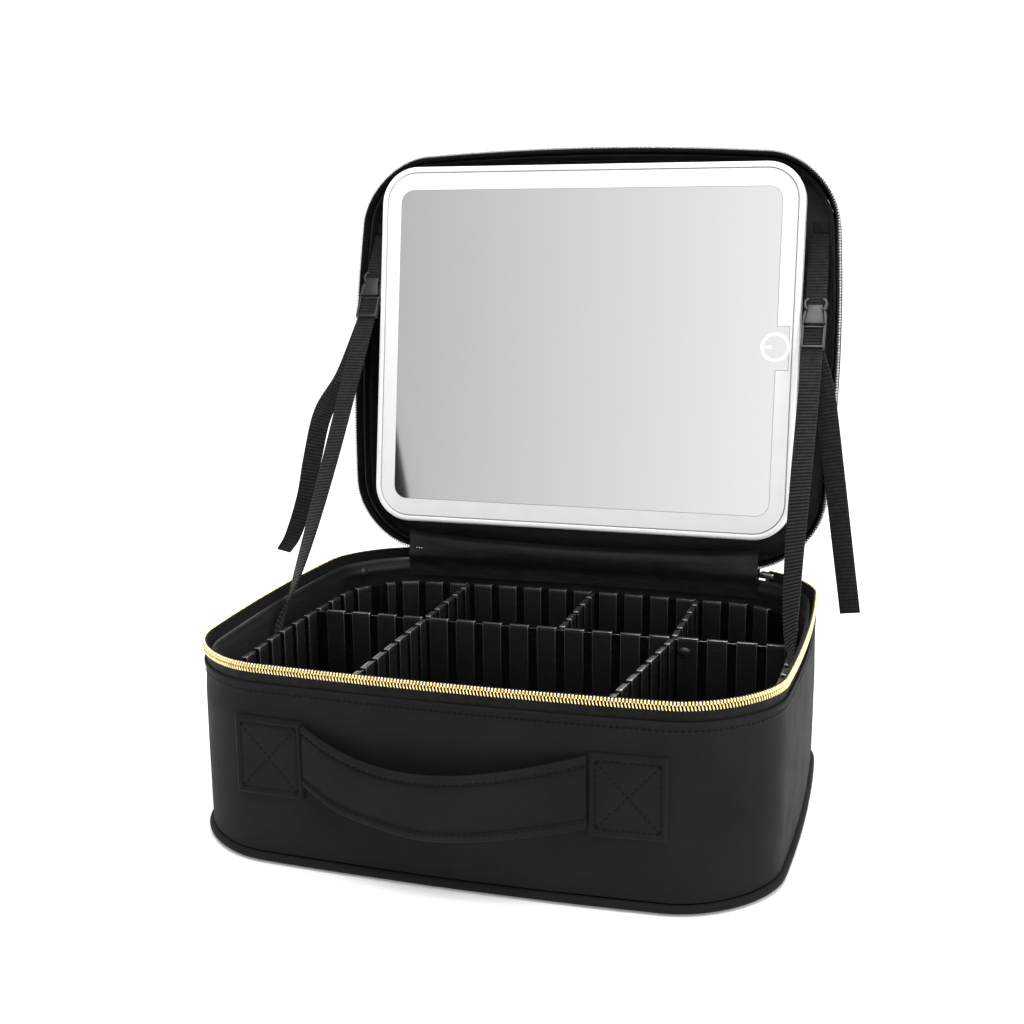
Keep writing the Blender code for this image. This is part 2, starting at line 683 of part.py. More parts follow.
def build_socket(name, placement):
    """The socket half: a waisted block, hollow from its lower end."""
    half, waist = BUCKLE_WIDTH / 2, BUCKLE_WIDTH / 2 - WAIST_DEPTH
    edge = list(zip((half, half, waist, half, half), (0.0, *WAIST_Y, FEMALE_LENGTH)))
    plan = edge + [(-x, y) for x, y in reversed(edge)]
    block = prism(name, plan, (-FEMALE_THICKNESS / 2, FEMALE_THICKNESS / 2), "buckle_plastic")
    depth = PRONG_LENGTH + POCKET_SPARE
    pocket_size = (BUCKLE_WIDTH - 2 * SOCKET_WALL, depth, PRONG_THICKNESS + 2 * CLEARANCE)
    pocket_middle = FEMALE_LENGTH + CLEARANCE + (POCKET_SPARE - depth) / 2
    cutter = box(f"{name}_pocket", pocket_size, "buckle_plastic", Matrix.Translation((0, pocket_middle, 0)))
    cutter.hide_render = True
    cutter.display_type = "WIRE"
    cut = block.modifiers.new("pocket", "BOOLEAN")
    cut.operation = "DIFFERENCE"
    cut.solver = "EXACT"
    cut.object = cutter
    block.data.transform(placement)
    cutter.data.transform(placement)
    return block


def build_plug(name, placement):
    """The plug half: a ladder block with two prongs that reach up into the socket."""
    half, inner = BUCKLE_WIDTH / 2, BUCKLE_WIDTH / 2 - SOCKET_WALL - CLEARANCE
    prong = inner - PRONG_WIDTH
    thin, thick = PRONG_THICKNESS / 2, MALE_THICKNESS / 2
    fork = [(-inner, -PRONG_LENGTH), (-prong, -PRONG_LENGTH), (-prong, 0.0), (prong, 0.0)]
    fork += [(prong, -PRONG_LENGTH), (inner, -PRONG_LENGTH), (inner, PRONG_ROOT), (-inner, PRONG_ROOT)]
    block = [(-half, 0), (half, 0), (half, MALE_LENGTH), (-half, MALE_LENGTH)]
    plug = prism(name, block, (-thick, thick), "buckle_plastic")
    prongs = prism(f"{name}_prongs", fork, (-thin, thin), "buckle_plastic")
    prongs.hide_render = True
    prongs.display_type = "WIRE"
    union = plug.modifiers.new("prongs", "BOOLEAN")
    union.operation = "UNION"
    union.solver = "EXACT"
    union.object = prongs
    plug.data.transform(placement)
    prongs.data.transform(placement)
    return plug


def build_strap(name, side):
    socket_start = BUCKLE_START[name]
    plug_start = socket_start + FEMALE_LENGTH + CLEARANCE
    anchor = LID_ANCHOR + Vector((side * STRAP_TOP_X, 0, 0))
    socket_end = link_frame(side, socket_start - 2 * CLEARANCE).translation
    upper = webbing(f"strap_upper_{name}", [anchor + LINK_DIRECTION * UPPER_WEBBING_START, socket_end], (0, 0))
    socket = build_socket(f"buckle_socket_{name}", link_frame(side, socket_start))
    for piece in (upper, socket):
        join_to(piece, f"strap_{name}_swing", anchor)

    plug = build_plug(f"buckle_plug_{name}", link_frame(side, plug_start))
    end = link_frame(side, plug_start + MALE_LENGTH + CLEARANCE)
    behind = end @ Vector((side * TAIL_SHIFT, TAIL_DROP, TAIL_BEHIND))
    tail_path = smooth_path([behind, *map(Vector, TAIL_PATHS[name])])
    tail_twists = [TAIL_TWIST[name] * i / (len(tail_path) - 1) for i in range(len(tail_path))]
    tail = webbing(f"strap_tail_{name}", tail_path, tail_twists)
    for piece in (plug, tail):
        join_to(piece, f"buckle_{name}_release", end.translation)

    knots = [Vector((*end.translation, 0.0))] + [Vector((side * x, y, z, twist)) for x, y, z, twist in STRAP_FALL]
    lower = smooth_path(knots)
    webbing(f"strap_lower_{name}", [knot.xyz for knot in lower], [knot.w for knot in lower])


def build_strap_seams(name, side):
    """The patch that sews a strap to the base lining, and the tab that sews it inside the lid."""
    x, y, z = SEAM_PATCH_PLACE
    box(f"strap_seam_{name}", SEAM_PATCH, "webbing", Matrix.Translation((side * x, y, z)))
    middle = LID_ANCHOR - LINK_DIRECTION * LID_TAB_BACK + Vector((side * STRAP_TOP_X, 0, 0))
    lean = Matrix.Rotation(math.radians(90) - LID_OPEN, 4, "X")
    tab = box(f"strap_lid_tab_{name}", LID_TAB, "webbing", Matrix.Translation(middle) @ lean)
    join_to(tab, "lid_hinge", HINGE_LINE)


def shade_round_pieces():
    """Smooth shading where a surface is really curved, with its sharp edges kept."""
    for obj in bpy.data.objects:
        if obj.type == "MESH" and not obj.name.startswith(("buckle", "zip_slider", "zip_pull")):
            obj.data.shade_smooth()
            obj.data.set_sharp_from_angle(angle=math.radians(30))


def main():
    clear_scene()
    make_materials()
    build_base_shell()
    build_sliders()
    build_hinge()
    build_insert()
    build_dividers()
    build_handle()
    build_lid()
    build_mirror()
    for name, side in SIDES.items():
        build_strap(name, side)
        build_strap_seams(name, side)
    shade_round_pieces()


main()
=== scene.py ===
"""Looks for the makeup train case: leather, satin, webbing, zip teeth, glossy tray and lit mirror.

Lengths are metres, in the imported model's frame: +Z up, front towards -Y, origin under the base's middle.
Lid pieces are built over the base, as when the case is closed, and then turned open about the hinge line.
"""

import math

import bmesh
import bpy
import numpy as np
from mathutils import Matrix, Vector, noise


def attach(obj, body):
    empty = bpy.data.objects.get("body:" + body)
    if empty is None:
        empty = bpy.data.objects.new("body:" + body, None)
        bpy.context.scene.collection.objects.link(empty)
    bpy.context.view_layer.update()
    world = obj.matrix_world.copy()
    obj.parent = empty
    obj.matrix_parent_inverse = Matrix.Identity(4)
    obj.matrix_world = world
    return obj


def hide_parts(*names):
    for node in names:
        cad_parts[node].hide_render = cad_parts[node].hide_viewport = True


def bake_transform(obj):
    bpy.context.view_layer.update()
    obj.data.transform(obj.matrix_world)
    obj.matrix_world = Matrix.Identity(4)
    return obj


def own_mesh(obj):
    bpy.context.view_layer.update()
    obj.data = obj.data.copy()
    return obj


MM = 0.001

# Case outline, as in the CAD.
CASE_WIDTH = 0.258
CASE_DEPTH = 0.214
CORNER_RADIUS = 0.040
LID_CORNER_RADIUS = 0.034
SIDE_BOW = 0.006
OUTLINE_STEP = 0.004
OUTLINE_POINTS = 288
SHEET_POINTS = 160
QUARTERS = ((1, 1), (-1, 1), (-1, -1), (1, -1))
HINGE_LINE = Vector((0.0, 0.1067, 0.0947))
HINGE_HALF = 0.0985
HINGE_STEPS = 60
SPINE_FOLD = (
    (0.1139, 0.0740, 0.0),
    (0.1139, 0.0822, 0.0),
    (0.1145, 0.0840, 0.3),
    (0.1158, 0.0853, 0.7),
    (0.1180, 0.0857, 1.0),
    (0.1222, 0.0851, 1.0),
)
FLAP_FOLD = (
    (0.1076, 0.0760, 0.0),
    (0.1072, 0.0835, 0.0),
    (0.1050, 0.0868, 0.3),
    (0.1042, 0.0905, 0.8),
    (0.1046, 0.0945, 1.0),
    (0.1066, 0.0975, 1.0),
)
LID_OPEN = math.radians(98.2)

# Heights in the base, and in the closed lid.
WALL_BOTTOM = 0.0052
WALL_THICKNESS = 0.0030
FOLD_THICKNESS = 0.0007
FOLD_Z = 0.0828
RIM_STITCH_Z = 0.0788
BASE_TEETH_Z = 0.0894
LID_TEETH_Z = 0.0929
LID_FOLD_Z = 0.0988
LID_WALL_TOP = 0.1138
LID_TOP_Z = 0.1190
LID_LEAN = 0.0017
LINING_INSET = 0.0034
LOOSE_INSET = 0.0045
LINING_LEVELS = {"base": (0.0862, 0.0036), "lid": (0.0957, 0.1149)}
FOLD_SPANS = {"base": (0.078, 0.070), "lid": (0.096, 0.099)}
FOLD_DEPTHS = {"base": 0.0011, "lid": 0.0008}
STITCH_INSET = 0.0001
CORD_LEVELS = {"base": 0.0027, "lid": 0.1160}
CORD_RADII = {"base": 0.0019, "lid": 0.0014}
UNDERSIDE_INSET = 0.0019
UNDERSIDE_TOP = 0.0031
LID_PANEL_INSET = 0.0016
LID_PANEL_BACK = 0.1159
LID_SHEET_INSET = 0.0036
LID_SHEET_LEVELS = (0.1157, 0.1151)

# Zips.
ZIP_POINTS = 1200
TEETH_PITCH = 0.00145
TEETH_HEIGHT = {"gold_teeth": 0.0041, "silver_teeth": 0.0036}
TAPE_SPACING = 0.003
TAPE_LEVELS = {"base": (0.0790, 0.09122), "lid": (0.1026, 0.09130)}
BASE_ZIP_GAP = (-0.098, 0.105)
LID_ZIP_GAP = (-0.091, 0.094)

# Stitches.
STITCH_LENGTH = 0.0018
STITCH_PITCH = 0.0026
THREAD_RADIUS = 0.00022

# Tray.
TRAY_POINTS = 480
RIB_PITCH = 0.0144
RIB_WIDTH = 0.0105
GROOVE_X = 0.0096
LONG_DIVIDER_Y = 0.030
DIVIDER_CORE = 0.0012
DIVIDER_PAD = 0.0009
INSERT_INSET = 0.0085
INSERT_CORE = 0.001
INSERT_PAD = 0.002
SLIDING_GAP = 0.0005
WALL_END_GAP = 0.0006
PAD_MARGIN = 0.0012
FLOOR_LEVELS = (0.0034, 0.0050)
WALL_LEVELS = (0.0054, 0.0735)
DIVIDER_LEVELS = (0.0056, 0.0740)
NECK_DROP = 0.0010
RIB_FLANK = 0.0008
PAD_BROW = 0.0020
BROW_DEPTH = 0.50
# How far below the rim the painted highlight on the pads' edges fades out.
EDGE_GLINT = 0.0035

# Small fittings.
BOSS_PLACE = Vector((0.0728, 0.0285, 0.067))
BOSS_FACING = Vector((0, -1, 0))
SNAP_PLACE = Vector((-0.1203, 0.0860, 0.0801))
SNAP_FACING = Vector((0.81, -0.59, 0)).normalized()
BUTTON_HEIGHT = 0.0012

# Mirror, in closed heights.
MIRROR_CENTRE_Y = -0.0043
MIRROR_HALF = (0.1157, 0.09785)
MIRROR_RADIUS = 0.020
BED_HALF = (0.100, 0.083)
BED_LEVELS = (0.1149, 0.0908)
BEZEL = 0.003
GLASS_HALF = (0.1042, 0.0850)
GLASS_RADIUS = 0.007
GLASS_LEVELS = (0.0825, 0.0794)
GLASS_CLEARANCE = 0.0002
TOUCH_Y = (-0.0178, 0.0047)
TOUCH_RING_CENTRE = (0.1038, -0.0071)
TOUCH_RING_RADII = (0.0061, 0.0074)
TOUCH_DASH_X = (-0.0052, -0.0018)
TOUCH_DASH_HALF = 0.0006
PRINT_LEVELS = (0.07935, 0.0791)
LIGHT_STRIP = 0.0020
LIGHT_GROOVE = 0.0006

# Straps and handle.
WEBBING_WIDTH = 0.0105
WEBBING_THICKNESS = 0.0012
WEBBING_STEPS = 10
STRAP_X = 0.1231
STRAP_TOP_X = 0.1220
LID_ANCHOR = Vector((0.0, 0.1370, 0.2675))
LINK_DIRECTION = Vector((0.0, -0.535, -0.845)).normalized()
SIDES = {"left": -1, "right": 1}
SOCKET_STARTS = {"left": 0.026, "right": 0.040}
SOCKET_LENGTH = 0.0153
PLUG_LENGTH = 0.0133
STRAP_FALL = (
    (0.1236, 0.085, 0.191, 2),
    (0.1238, 0.054, 0.151, 12),
    (0.1244, 0.026, 0.116, 28),
    (0.1258, 0.006, 0.091, 50),
    (0.1282, -0.006, 0.0755, 80),
    (0.1283, -0.0100, 0.0640, 90),
)
TAIL_PATHS = {
    "left": (
        (-0.1320, 0.0950, 0.1900),
        (-0.1430, 0.0890, 0.1700),
        (-0.1480, 0.0835, 0.1450),
        (-0.1515, 0.0800, 0.1239),
        (-0.1580, 0.0760, 0.1025),
        (-0.1635, 0.0740, 0.0930),
    ),
    "right": (
        (0.1304, 0.0960, 0.1880),
        (0.1372, 0.0870, 0.1500),
        (0.1432, 0.0810, 0.1130),
        (0.1486, 0.0770, 0.0790),
    ),
}
TAIL_TWISTS = {"left": -68, "right": 12}
HANDLE_X = -0.004
BAND_REACH = 0.0622
BAND_SLACK = 0.0105
BAND_SAG = 0.009
BAND_LOW = 0.0350
BAND_HIGH = 0.0670
BAND_PROUD = 0.0018
BAND_STITCH_PROUD = 0.00158
BAND_SEAM = 0.77
TAB_SEAM = 0.81
TAB_OFFSET = 0.079
TAB_WIDTH = 0.033
TAB_Z = (0.032, 0.068)
TAB_STEPS = 56

# Camera, about three quarters of a metre in front of the case and to its right.
CAMERA_PLACE = Vector((0.1851, -0.6310, 0.2814))
CAMERA_YAW = math.radians(16.87)
CAMERA_PITCH = math.radians(12.17)
CAMERA_ROLL = math.radians(-0.53)
CAMERA_LENS = 49.7

# Studio: white all round, shading off towards the front left. Each ramp is a direction's axis, its span and
# the brightness at each end of the span, and the brighter ramp counts.
FLOOR_RADIUS = 6.0
WORLD_STRENGTH = 1.3
WORLD_RAMPS = (("X", (-0.40, 0.10), (0.38, 1.0)), ("Y", (0.0, 0.3), (0.0, 1.0)))

# Area lights: place, target, size and power.
LIGHTS = {
    "key": ((1.4, 0.2, 0.6), (0.1, 0.0, 0.05), 1.0, 3.0),
    "top": ((0.1, 0.35, 1.3), (0.0, 0.05, 0.0), 0.7, 10.0),
    "tray": ((0.05, -0.45, 1.1), (0.0, 0.03, 0.06), 0.4, 6.0),
}


# ---------------------------------------------------------------- mesh helpers


def new_object(name, mesh, material, smooth=True, turn=None):
    if turn is not None:
        mesh.transform(turn)
    bmesh.ops.recalc_face_normals(mesh, faces=mesh.faces)
    data = bpy.data.meshes.new(name)
    mesh.to_mesh(data)
    mesh.free()
    if smooth:
        data.shade_smooth()
    data.materials.append(bpy.data.materials[material])
    obj = bpy.data.objects.new(name, data)
    bpy.context.scene.collection.objects.link(obj)
    return obj


def loft(name, loops, material, closed=False, turn=None, sharp=math.radians(40)):
    """One closed body through loops of equal length, capped at both ends unless it closes on itself.

    Each face gets UVs in metres: round the loop in U, and from loop to loop in V.
    """
    mesh = bmesh.new()
    uv_layer = mesh.loops.layers.uv.new("UVMap")
    rows = [[mesh.verts.new(point) for point in loop] for loop in loops]
    along = running_lengths([loop[0] for loop in loops])
    around = running_lengths(list(loops[0]) + [loops[0][0]])
    last = len(rows) if closed else len(rows) - 1
    for index in range(last):
        here, there = rows[index], rows[(index + 1) % len(rows)]
        v_pair = (along[index], along[index + 1] if index + 1 < len(along) else along[index])
        for side in range(len(here)):
            after = (side + 1) % len(here)
            face = mesh.faces.new((here[side], here[after], there[after], there[side]))
            corners = ((side, 0), (side + 1, 0), (side + 1, 1), (side, 1))
            for corner, (u_index, v_index) in zip(face.loops, corners):
                corner[uv_layer].uv = (around[u_index], v_pair[v_index])
    if not closed:
        mesh.faces.new(rows[0])
        mesh.faces.new(rows[-1])
    obj = new_object(name, mesh, material, turn=turn)
    obj.data.set_sharp_from_angle(angle=sharp)
    return obj


def running_lengths(points):
    lengths = [0.0]
    for one, other in zip(points, points[1:]):
        lengths.append(lengths[-1] + (Vector(other) - Vector(one)).length)
    return lengths


def merged(name, pieces):
    """Joins objects of the same kind into one."""
    with bpy.context.temp_override(active_object=pieces[0], selected_editable_objects=pieces):
        bpy.ops.object.join()
    pieces[0].name = name
    pieces[0].data.name = name
    return pieces[0]


def open_lid_matrix():
    turn = Matrix.Rotation(-LID_OPEN, 4, "X")
    return Matrix.Translation(HINGE_LINE) @ turn @ Matrix.Translation(-HINGE_LINE)


def ripple(point, size, seed):
    """Smooth noise from -1 to 1 with features of the given size."""
    return noise.noise(Vector(point) / size + Vector((seed * 7.3, seed * 3.1, seed)))


def clamp(value):
    return min(max(value, 0.0), 1.0)


def smoothstep(value):
    value = clamp(value)
    return value * value * (3 - 2 * value)


def between(start, end, share):
    return tuple(a + (b - a) * share for a, b in zip(start, end))


def unit_circle(count):
    """Points round a circle of radius 1, from +X towards +Y."""
    turns = [math.radians(360 / count) * step for step in range(count)]
    return [(math.cos(turn), math.sin(turn)) for turn in turns]


def stacked(*levels):
    """Loops for a loft, from pairs of a plan outline and its height."""
    return [[(x, y, z) for x, y in outline] for outline, z in levels]


def place(obj, body, slot, *nodes):
    """Finishes a piece: what it rides on and which CAD nodes it stands for; its finish, slot, is not used.
    """
    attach(obj, body)
    if nodes:
        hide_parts(*nodes)
    return obj


# ---------------------------------------------------------------- outlines


def bow(across, half):
    return SIDE_BOW * (1 - (across / half) ** 2)


def dense_outline(corner=CORNER_RADIUS):
    """Many points round the case, anticlockwise from the middle of the back."""
    half_x, half_y = CASE_WIDTH / 2, CASE_DEPTH / 2
    points = rounded_rectangle((half_x, half_y), corner, 40)
    path = []
    for start, end in zip(points, points[1:] + points[:1]):
        pieces = max(1, int(math.dist(start, end) / OUTLINE_STEP))
        path += [between(start, end, step / pieces) for step in range(pieces)]
    bowed = []
    for x, y in path:
        to_side = clamp((abs(x) - (half_x - corner)) / corner)
        to_end = clamp((abs(y) - (half_y - corner)) / corner)
        bowed_x = x + math.copysign(bow(y, half_y), x) * to_side
        bowed_y = y + math.copysign(bow(x, half_x), y) * to_end
        bowed.append((bowed_x, bowed_y))
    back = max(range(len(bowed)), key=lambda i: bowed[i][1] - abs(bowed[i][0]))
    return bowed[back:] + bowed[:back]


def even_points(path, count, closed=True):
    """Points spaced evenly along a plan path, and the normals on its right-hand side."""
    points = np.array(path + path[:1] if closed else path)
    lengths = np.concatenate([[0], np.cumsum(np.linalg.norm(np.diff(points, axis=0), axis=1))])
    where = np.linspace(0, lengths[-1], count + 1)[:count] if closed else np.linspace(0, lengths[-1], count)
    even = np.stack([np.interp(where, lengths, points[:, axis]) for axis in (0, 1)], axis=1)
    if closed:
        ahead, behind = np.roll(even, -1, axis=0), np.roll(even, 1, axis=0)
    else:
        ahead = np.concatenate([even[1:], even[-1:]])
        behind = np.concatenate([even[:1], even[:-1]])
    tangents = ahead - behind
    tangents /= np.linalg.norm(tangents, axis=1)[:, None]
    normals = np.stack([tangents[:, 1], -tangents[:, 0]], axis=1)
    return even, normals


def inset_outline(inset, corner=CORNER_RADIUS):
    """The case outline drawn in by a distance, for a flat sheet."""
    points, normals = even_points(dense_outline(corner), SHEET_POINTS)
    return [tuple(point - normal * inset) for point, normal in zip(points, normals)]


def rounded_rectangle(half, radius, steps=14, centre_y=0.0):
    """Anticlockwise from the upper end of the right side to the lower end of the same side."""
    points = []
    for quarter, (sx, sy) in enumerate(QUARTERS):
        centre = (sx * (half[0] - radius), sy * (half[1] - radius) + centre_y)
        for step in range(steps + 1):
            angle = math.radians(90) * (quarter + step / steps)
            points.append((centre[0] + radius * math.cos(angle), centre[1] + radius * math.sin(angle)))
    return points


def mirror_outline(half, radius):
    return rounded_rectangle(half, radius, centre_y=MIRROR_CENTRE_Y)


def front_y(x):
    return -(CASE_DEPTH / 2 + bow(x, CASE_WIDTH / 2))


def back_y(x, inset=0.0):
    return CASE_DEPTH / 2 - inset + bow(x, CASE_WIDTH / 2)


def sweep_round(
    name, profile, material, turn=None, crease=0.0, sharp=math.radians(50), seed=1, corner=CORNER_RADIUS
):
    """A closed profile of (outward offset, height) carried round the case, with soft dents crease deep."""
    points, normals = even_points(dense_outline(corner), OUTLINE_POINTS)
    loops = []
    for point, normal in zip(points, normals):
        loop = []
        for offset, z in profile:
            wide, fine = ripple((*point, z * 0.6), 0.045, seed), ripple((*point, z), 0.014, seed)
            x, y = point + normal * (offset + crease * (wide + 0.25 * fine))
            loop.append((x, y, z))
        loops.append(loop)
    return loft(name, loops, material, closed=True, turn=turn, sharp=sharp)


def plate(name, outline, heights, round_edge, material, turn=None):
    """A flat plate whose top edge is rounded off. The heights go from the flat back to the rounded face."""
    back, face = heights
    middle = np.mean(outline, axis=0)
    sign = 1 if face > back else -1
    loops = [[(x, y, back) for x, y in outline]]
    for share in (0.0, 0.3, 0.6, 0.85, 1.0):
        angle = share * math.radians(90)
        shrink = round_edge * (1 - math.cos(angle))
        z = face - sign * round_edge * (1 - math.sin(angle))
        loops.append([(*inwards((x, y), middle, shrink), z) for x, y in outline])
    return loft(name, loops, material, turn=turn)


def inwards(point, middle, distance):
    """Moves a plan point towards the middle of its shape, by the distance along its longer axis."""
    x, y = point
    away = max(abs(x - middle[0]), abs(y - middle[1]))
    return x - (x - middle[0]) / away * distance, y - (y - middle[1]) / away * distance


# ---------------------------------------------------------------- materials


class Nodes:
    """Short calls for building one material."""

    def __init__(self, name, colour, roughness, metallic=0.0, **sockets):
        self.material = bpy.data.materials.new(name)
        self.material.use_nodes = True
        self.material.diffuse_color = (*colour, 1.0)
        self.tree = self.material.node_tree
        self.shader = self.tree.nodes["Principled BSDF"]
        self.set("Base Color", (*colour, 1.0))
        self.set("Roughness", roughness)
        self.set("Metallic", metallic)
        for socket, value in sockets.items():
            self.set(socket.replace("_", " "), value)

    def set(self, socket, value):
        self.shader.inputs[socket].default_value = value

    def add(self, kind, **values):
        node = self.tree.nodes.new(kind)
        for key, value in values.items():
            if key in node.inputs:
                node.inputs[key].default_value = value
            else:
                setattr(node, key, value)
        return node

    def link(self, output, socket):
        self.tree.links.new(output, socket)

    def coordinates(self, kind="Object"):
        return self.add("ShaderNodeTexCoord").outputs[kind]

    def noise(self, scale, detail, stretch=(1, 1, 1)):
        mapping = self.add("ShaderNodeMapping", Scale=stretch)
        self.link(self.coordinates(), mapping.inputs["Vector"])
        texture = self.add("ShaderNodeTexNoise", Scale=scale, Detail=detail, Roughness=0.55)
        self.link(mapping.outputs["Vector"], texture.inputs["Vector"])
        return texture.outputs["Fac"]

    def cells(self, scale):
        texture = self.add("ShaderNodeTexVoronoi", Scale=scale, feature="DISTANCE_TO_EDGE")
        self.link(self.coordinates(), texture.inputs["Vector"])
        return self.spread(texture.outputs["Distance"], (0.0, 0.12), (0.0, 1.0))

    def bands(self, scale, direction, kind="UV"):
        texture = self.add("ShaderNodeTexWave", Scale=scale, bands_direction=direction)
        self.link(self.coordinates(kind), texture.inputs["Vector"])
        return texture.outputs["Fac"]

    def spread(self, value, source, target):
        node = self.add("ShaderNodeMapRange")
        node.inputs["From Min"].default_value, node.inputs["From Max"].default_value = source
        node.inputs["To Min"].default_value, node.inputs["To Max"].default_value = target
        self.link(value, node.inputs["Value"])
        return node.outputs["Result"]

    def combine(self, one, other, operation="MULTIPLY"):
        node = self.add("ShaderNodeMath", operation=operation)
        self.link(one, node.inputs[0])
        self.link(other, node.inputs[1])
        return node.outputs["Value"]

    def colours(self, value, *stops, socket="Base Color"):
        ramp = self.add("ShaderNodeValToRGB")
        elements = ramp.color_ramp.elements
        for index, (position, colour) in enumerate(stops):
            element = elements[index] if index < 2 else elements.new(position)
            element.position = position
            element.color = (*colour, 1.0)
        self.link(value, ramp.inputs["Fac"])
        self.link(ramp.outputs["Color"], self.shader.inputs[socket])

    def vary_roughness(self, value, low, high):
        self.link(self.spread(value, (0.3, 0.7), (low, high)), self.shader.inputs["Roughness"])

    def bumps(self, *layers):
        """Each layer is (height output, strength, distance in metres)."""
        normal = None
        for height, strength, distance in layers:
            bump = self.add("ShaderNodeBump", Strength=strength, Distance=distance)
            self.link(height, bump.inputs["Height"])
            if normal is not None:
                self.link(normal, bump.inputs["Normal"])
            normal = bump.outputs["Normal"]
        self.link(normal, self.shader.inputs["Normal"])


def grey(level, blue=0.0):
    """A neutral colour, with this much more blue in it."""
    return (level, level, level + blue)


def make_leather(name, dark, light, roughness):
    """Coated synthetic leather: pebbled grain, faint creases and a slightly uneven finish."""
    m = Nodes(name, dark, roughness[0], Specular_IOR_Level=0.05, Sheen_Weight=0.02, Sheen_Roughness=0.45)
    m.colours(m.noise(26, detail=4), (0.30, dark), (0.72, light))
    m.vary_roughness(m.noise(60, detail=5), *roughness)
    m.bumps(
        (m.noise(45, detail=4), 0.35, 0.0006),
        (m.cells(1050), 0.30, 0.00010),
        (m.noise(2600, detail=2), 0.25, 0.00006),
        (m.combine(m.bands(260, "X", "Object"), m.bands(260, "Z", "Object"), "ADD"), 0.20, 0.00005),
    )


def make_satin():
    """Black satin: a fine diagonal weave with a soft streaky shine."""
    shine = {"Specular_IOR_Level": 0.35, "Sheen_Weight": 0.07, "Sheen_Roughness": 0.35}
    m = Nodes("satin_lining", grey(0.006, 0.0005), 0.42, **shine)
    m.colours(m.noise(40, detail=3), (0.3, grey(0.0040, 0.0002)), (0.75, grey(0.0085, 0.0003)))
    m.vary_roughness(m.noise(120, detail=3, stretch=(1, 1, 4)), 0.34, 0.50)
    m.bumps(
        (m.noise(70, detail=3, stretch=(1, 1, 2.2)), 0.45, 0.0008),
        (m.noise(3200, detail=1, stretch=(1, 1, 0.25)), 0.30, 0.00005),
    )


def make_woven(name, colour, light, ribs, strength, sheen):
    """Ribbed webbing or tape: cross ribs along its length, with threads running across them."""
    m = Nodes(name, colour, 0.72, Specular_IOR_Level=0.2, Sheen_Weight=sheen, Sheen_Roughness=0.45)
    cross = m.bands(ribs, "Y")
    threads = m.bands(ribs * 1.9, "X")
    m.colours(m.combine(cross, m.noise(400, detail=2)), (0.12, colour), (0.62, light))
    m.vary_roughness(m.noise(300, detail=2), 0.62, 0.85)
    m.bumps(
        (cross, strength, 0.00035),
        (threads, strength * 0.45, 0.00012),
        (m.noise(2500, detail=2), 0.25, 0.00006),
    )


def make_plastic(name, dark, light, roughness, scale, specular=0.5, coat=0.0):
    m = Nodes(name, dark, roughness[0], Specular_IOR_Level=specular, Coat_Weight=coat, Coat_Roughness=0.12)
    m.colours(m.noise(scale, detail=3), (0.3, dark), (0.7, light))
    m.vary_roughness(m.noise(scale * 3, detail=4), *roughness)
    m.bumps((m.noise(scale * 0.6, detail=1), 0.10, 0.0006), (m.noise(3000, detail=2), 0.05, 0.00002))


def make_insert_plastic():
    """Glossy thermoformed sheet, with painted shade in its grooves and a painted highlight along the edges
    of its pads, just below the rim.
    """
    # groove is painted shade and edge is a painted highlight; pad is the sheet's own colour.
    groove, pad, edge = grey(0.0012, 0.0001), grey(0.0060, 0.0002), grey(0.18)
    m = Nodes("insert_plastic", pad, 0.25, Specular_IOR_Level=0.75)
    # Per point, from painted shade (0) in a groove to a painted highlight (1) at a pad's edge under the
    # rim.
    wear_and_painted_light = m.add("ShaderNodeAttribute", attribute_name="relief").outputs["Fac"]
    m.colours(wear_and_painted_light, (0.0, groove), (0.5, pad), (1.0, edge))
    m.vary_roughness(m.noise(180, detail=4), 0.22, 0.29)
    m.bumps((m.noise(36, detail=1), 0.10, 0.0006), (m.noise(900, detail=1), 0.02, 0.00002))


def make_metal(name, colour, wear_and_painted_light, roughness):
    m = Nodes(name, colour, roughness[0], metallic=1.0)
    m.colours(m.noise(500, detail=3), (0.32, wear_and_painted_light), (0.60, colour))
    m.vary_roughness(m.noise(700, detail=2), *roughness)
    m.bumps((m.noise(900, detail=2), 0.15, 0.00008),)


def make_glass():
    """Silvered glass with a trace of unevenness, as flat glass has."""
    m = Nodes("mirror_glass", grey(0.87), 0.08, metallic=1.0)
    m.colours(m.noise(9, detail=1), (0.3, grey(0.865)), (0.7, grey(0.875)))
    m.vary_roughness(m.noise(15, detail=1), 0.10, 0.13)
    m.bumps((m.noise(6, detail=0), 0.05, 0.0003),)


def make_diffuser():
    """The frosted strip in front of the lights, a little brighter over each light."""
    m = Nodes("light_frame", grey(0.72), 0.55, Emission_Strength=0.05)
    glow = m.noise(70, detail=1)
    m.colours(glow, (0.0, grey(0.86)), (1.0, grey(1.0)), socket="Emission Color")
    m.colours(glow, (0.2, grey(0.70)), (0.8, grey(0.74)))
    m.bumps((m.noise(1800, detail=2), 0.15, 0.00005),)


def make_touch_print():
    """The backlit symbol on the glass."""
    m = Nodes("touch_print", grey(0.95), 0.4, Emission_Color=(1, 1, 1, 1), Emission_Strength=0.6)
    m.colours(m.noise(200, detail=2), (0.3, grey(0.93)), (0.7, grey(0.97)))
    m.bumps((m.noise(1500, detail=2), 0.1, 0.00002),)


def make_floor():
    glow = {"Emission_Color": (1, 1, 1, 1), "Emission_Strength": 0.15}
    m = Nodes("studio_floor", grey(0.92), 0.85, Specular_IOR_Level=0.05, **glow)
    m.colours(m.noise(3, detail=2), (0.3, grey(0.915)), (0.7, grey(0.925)))


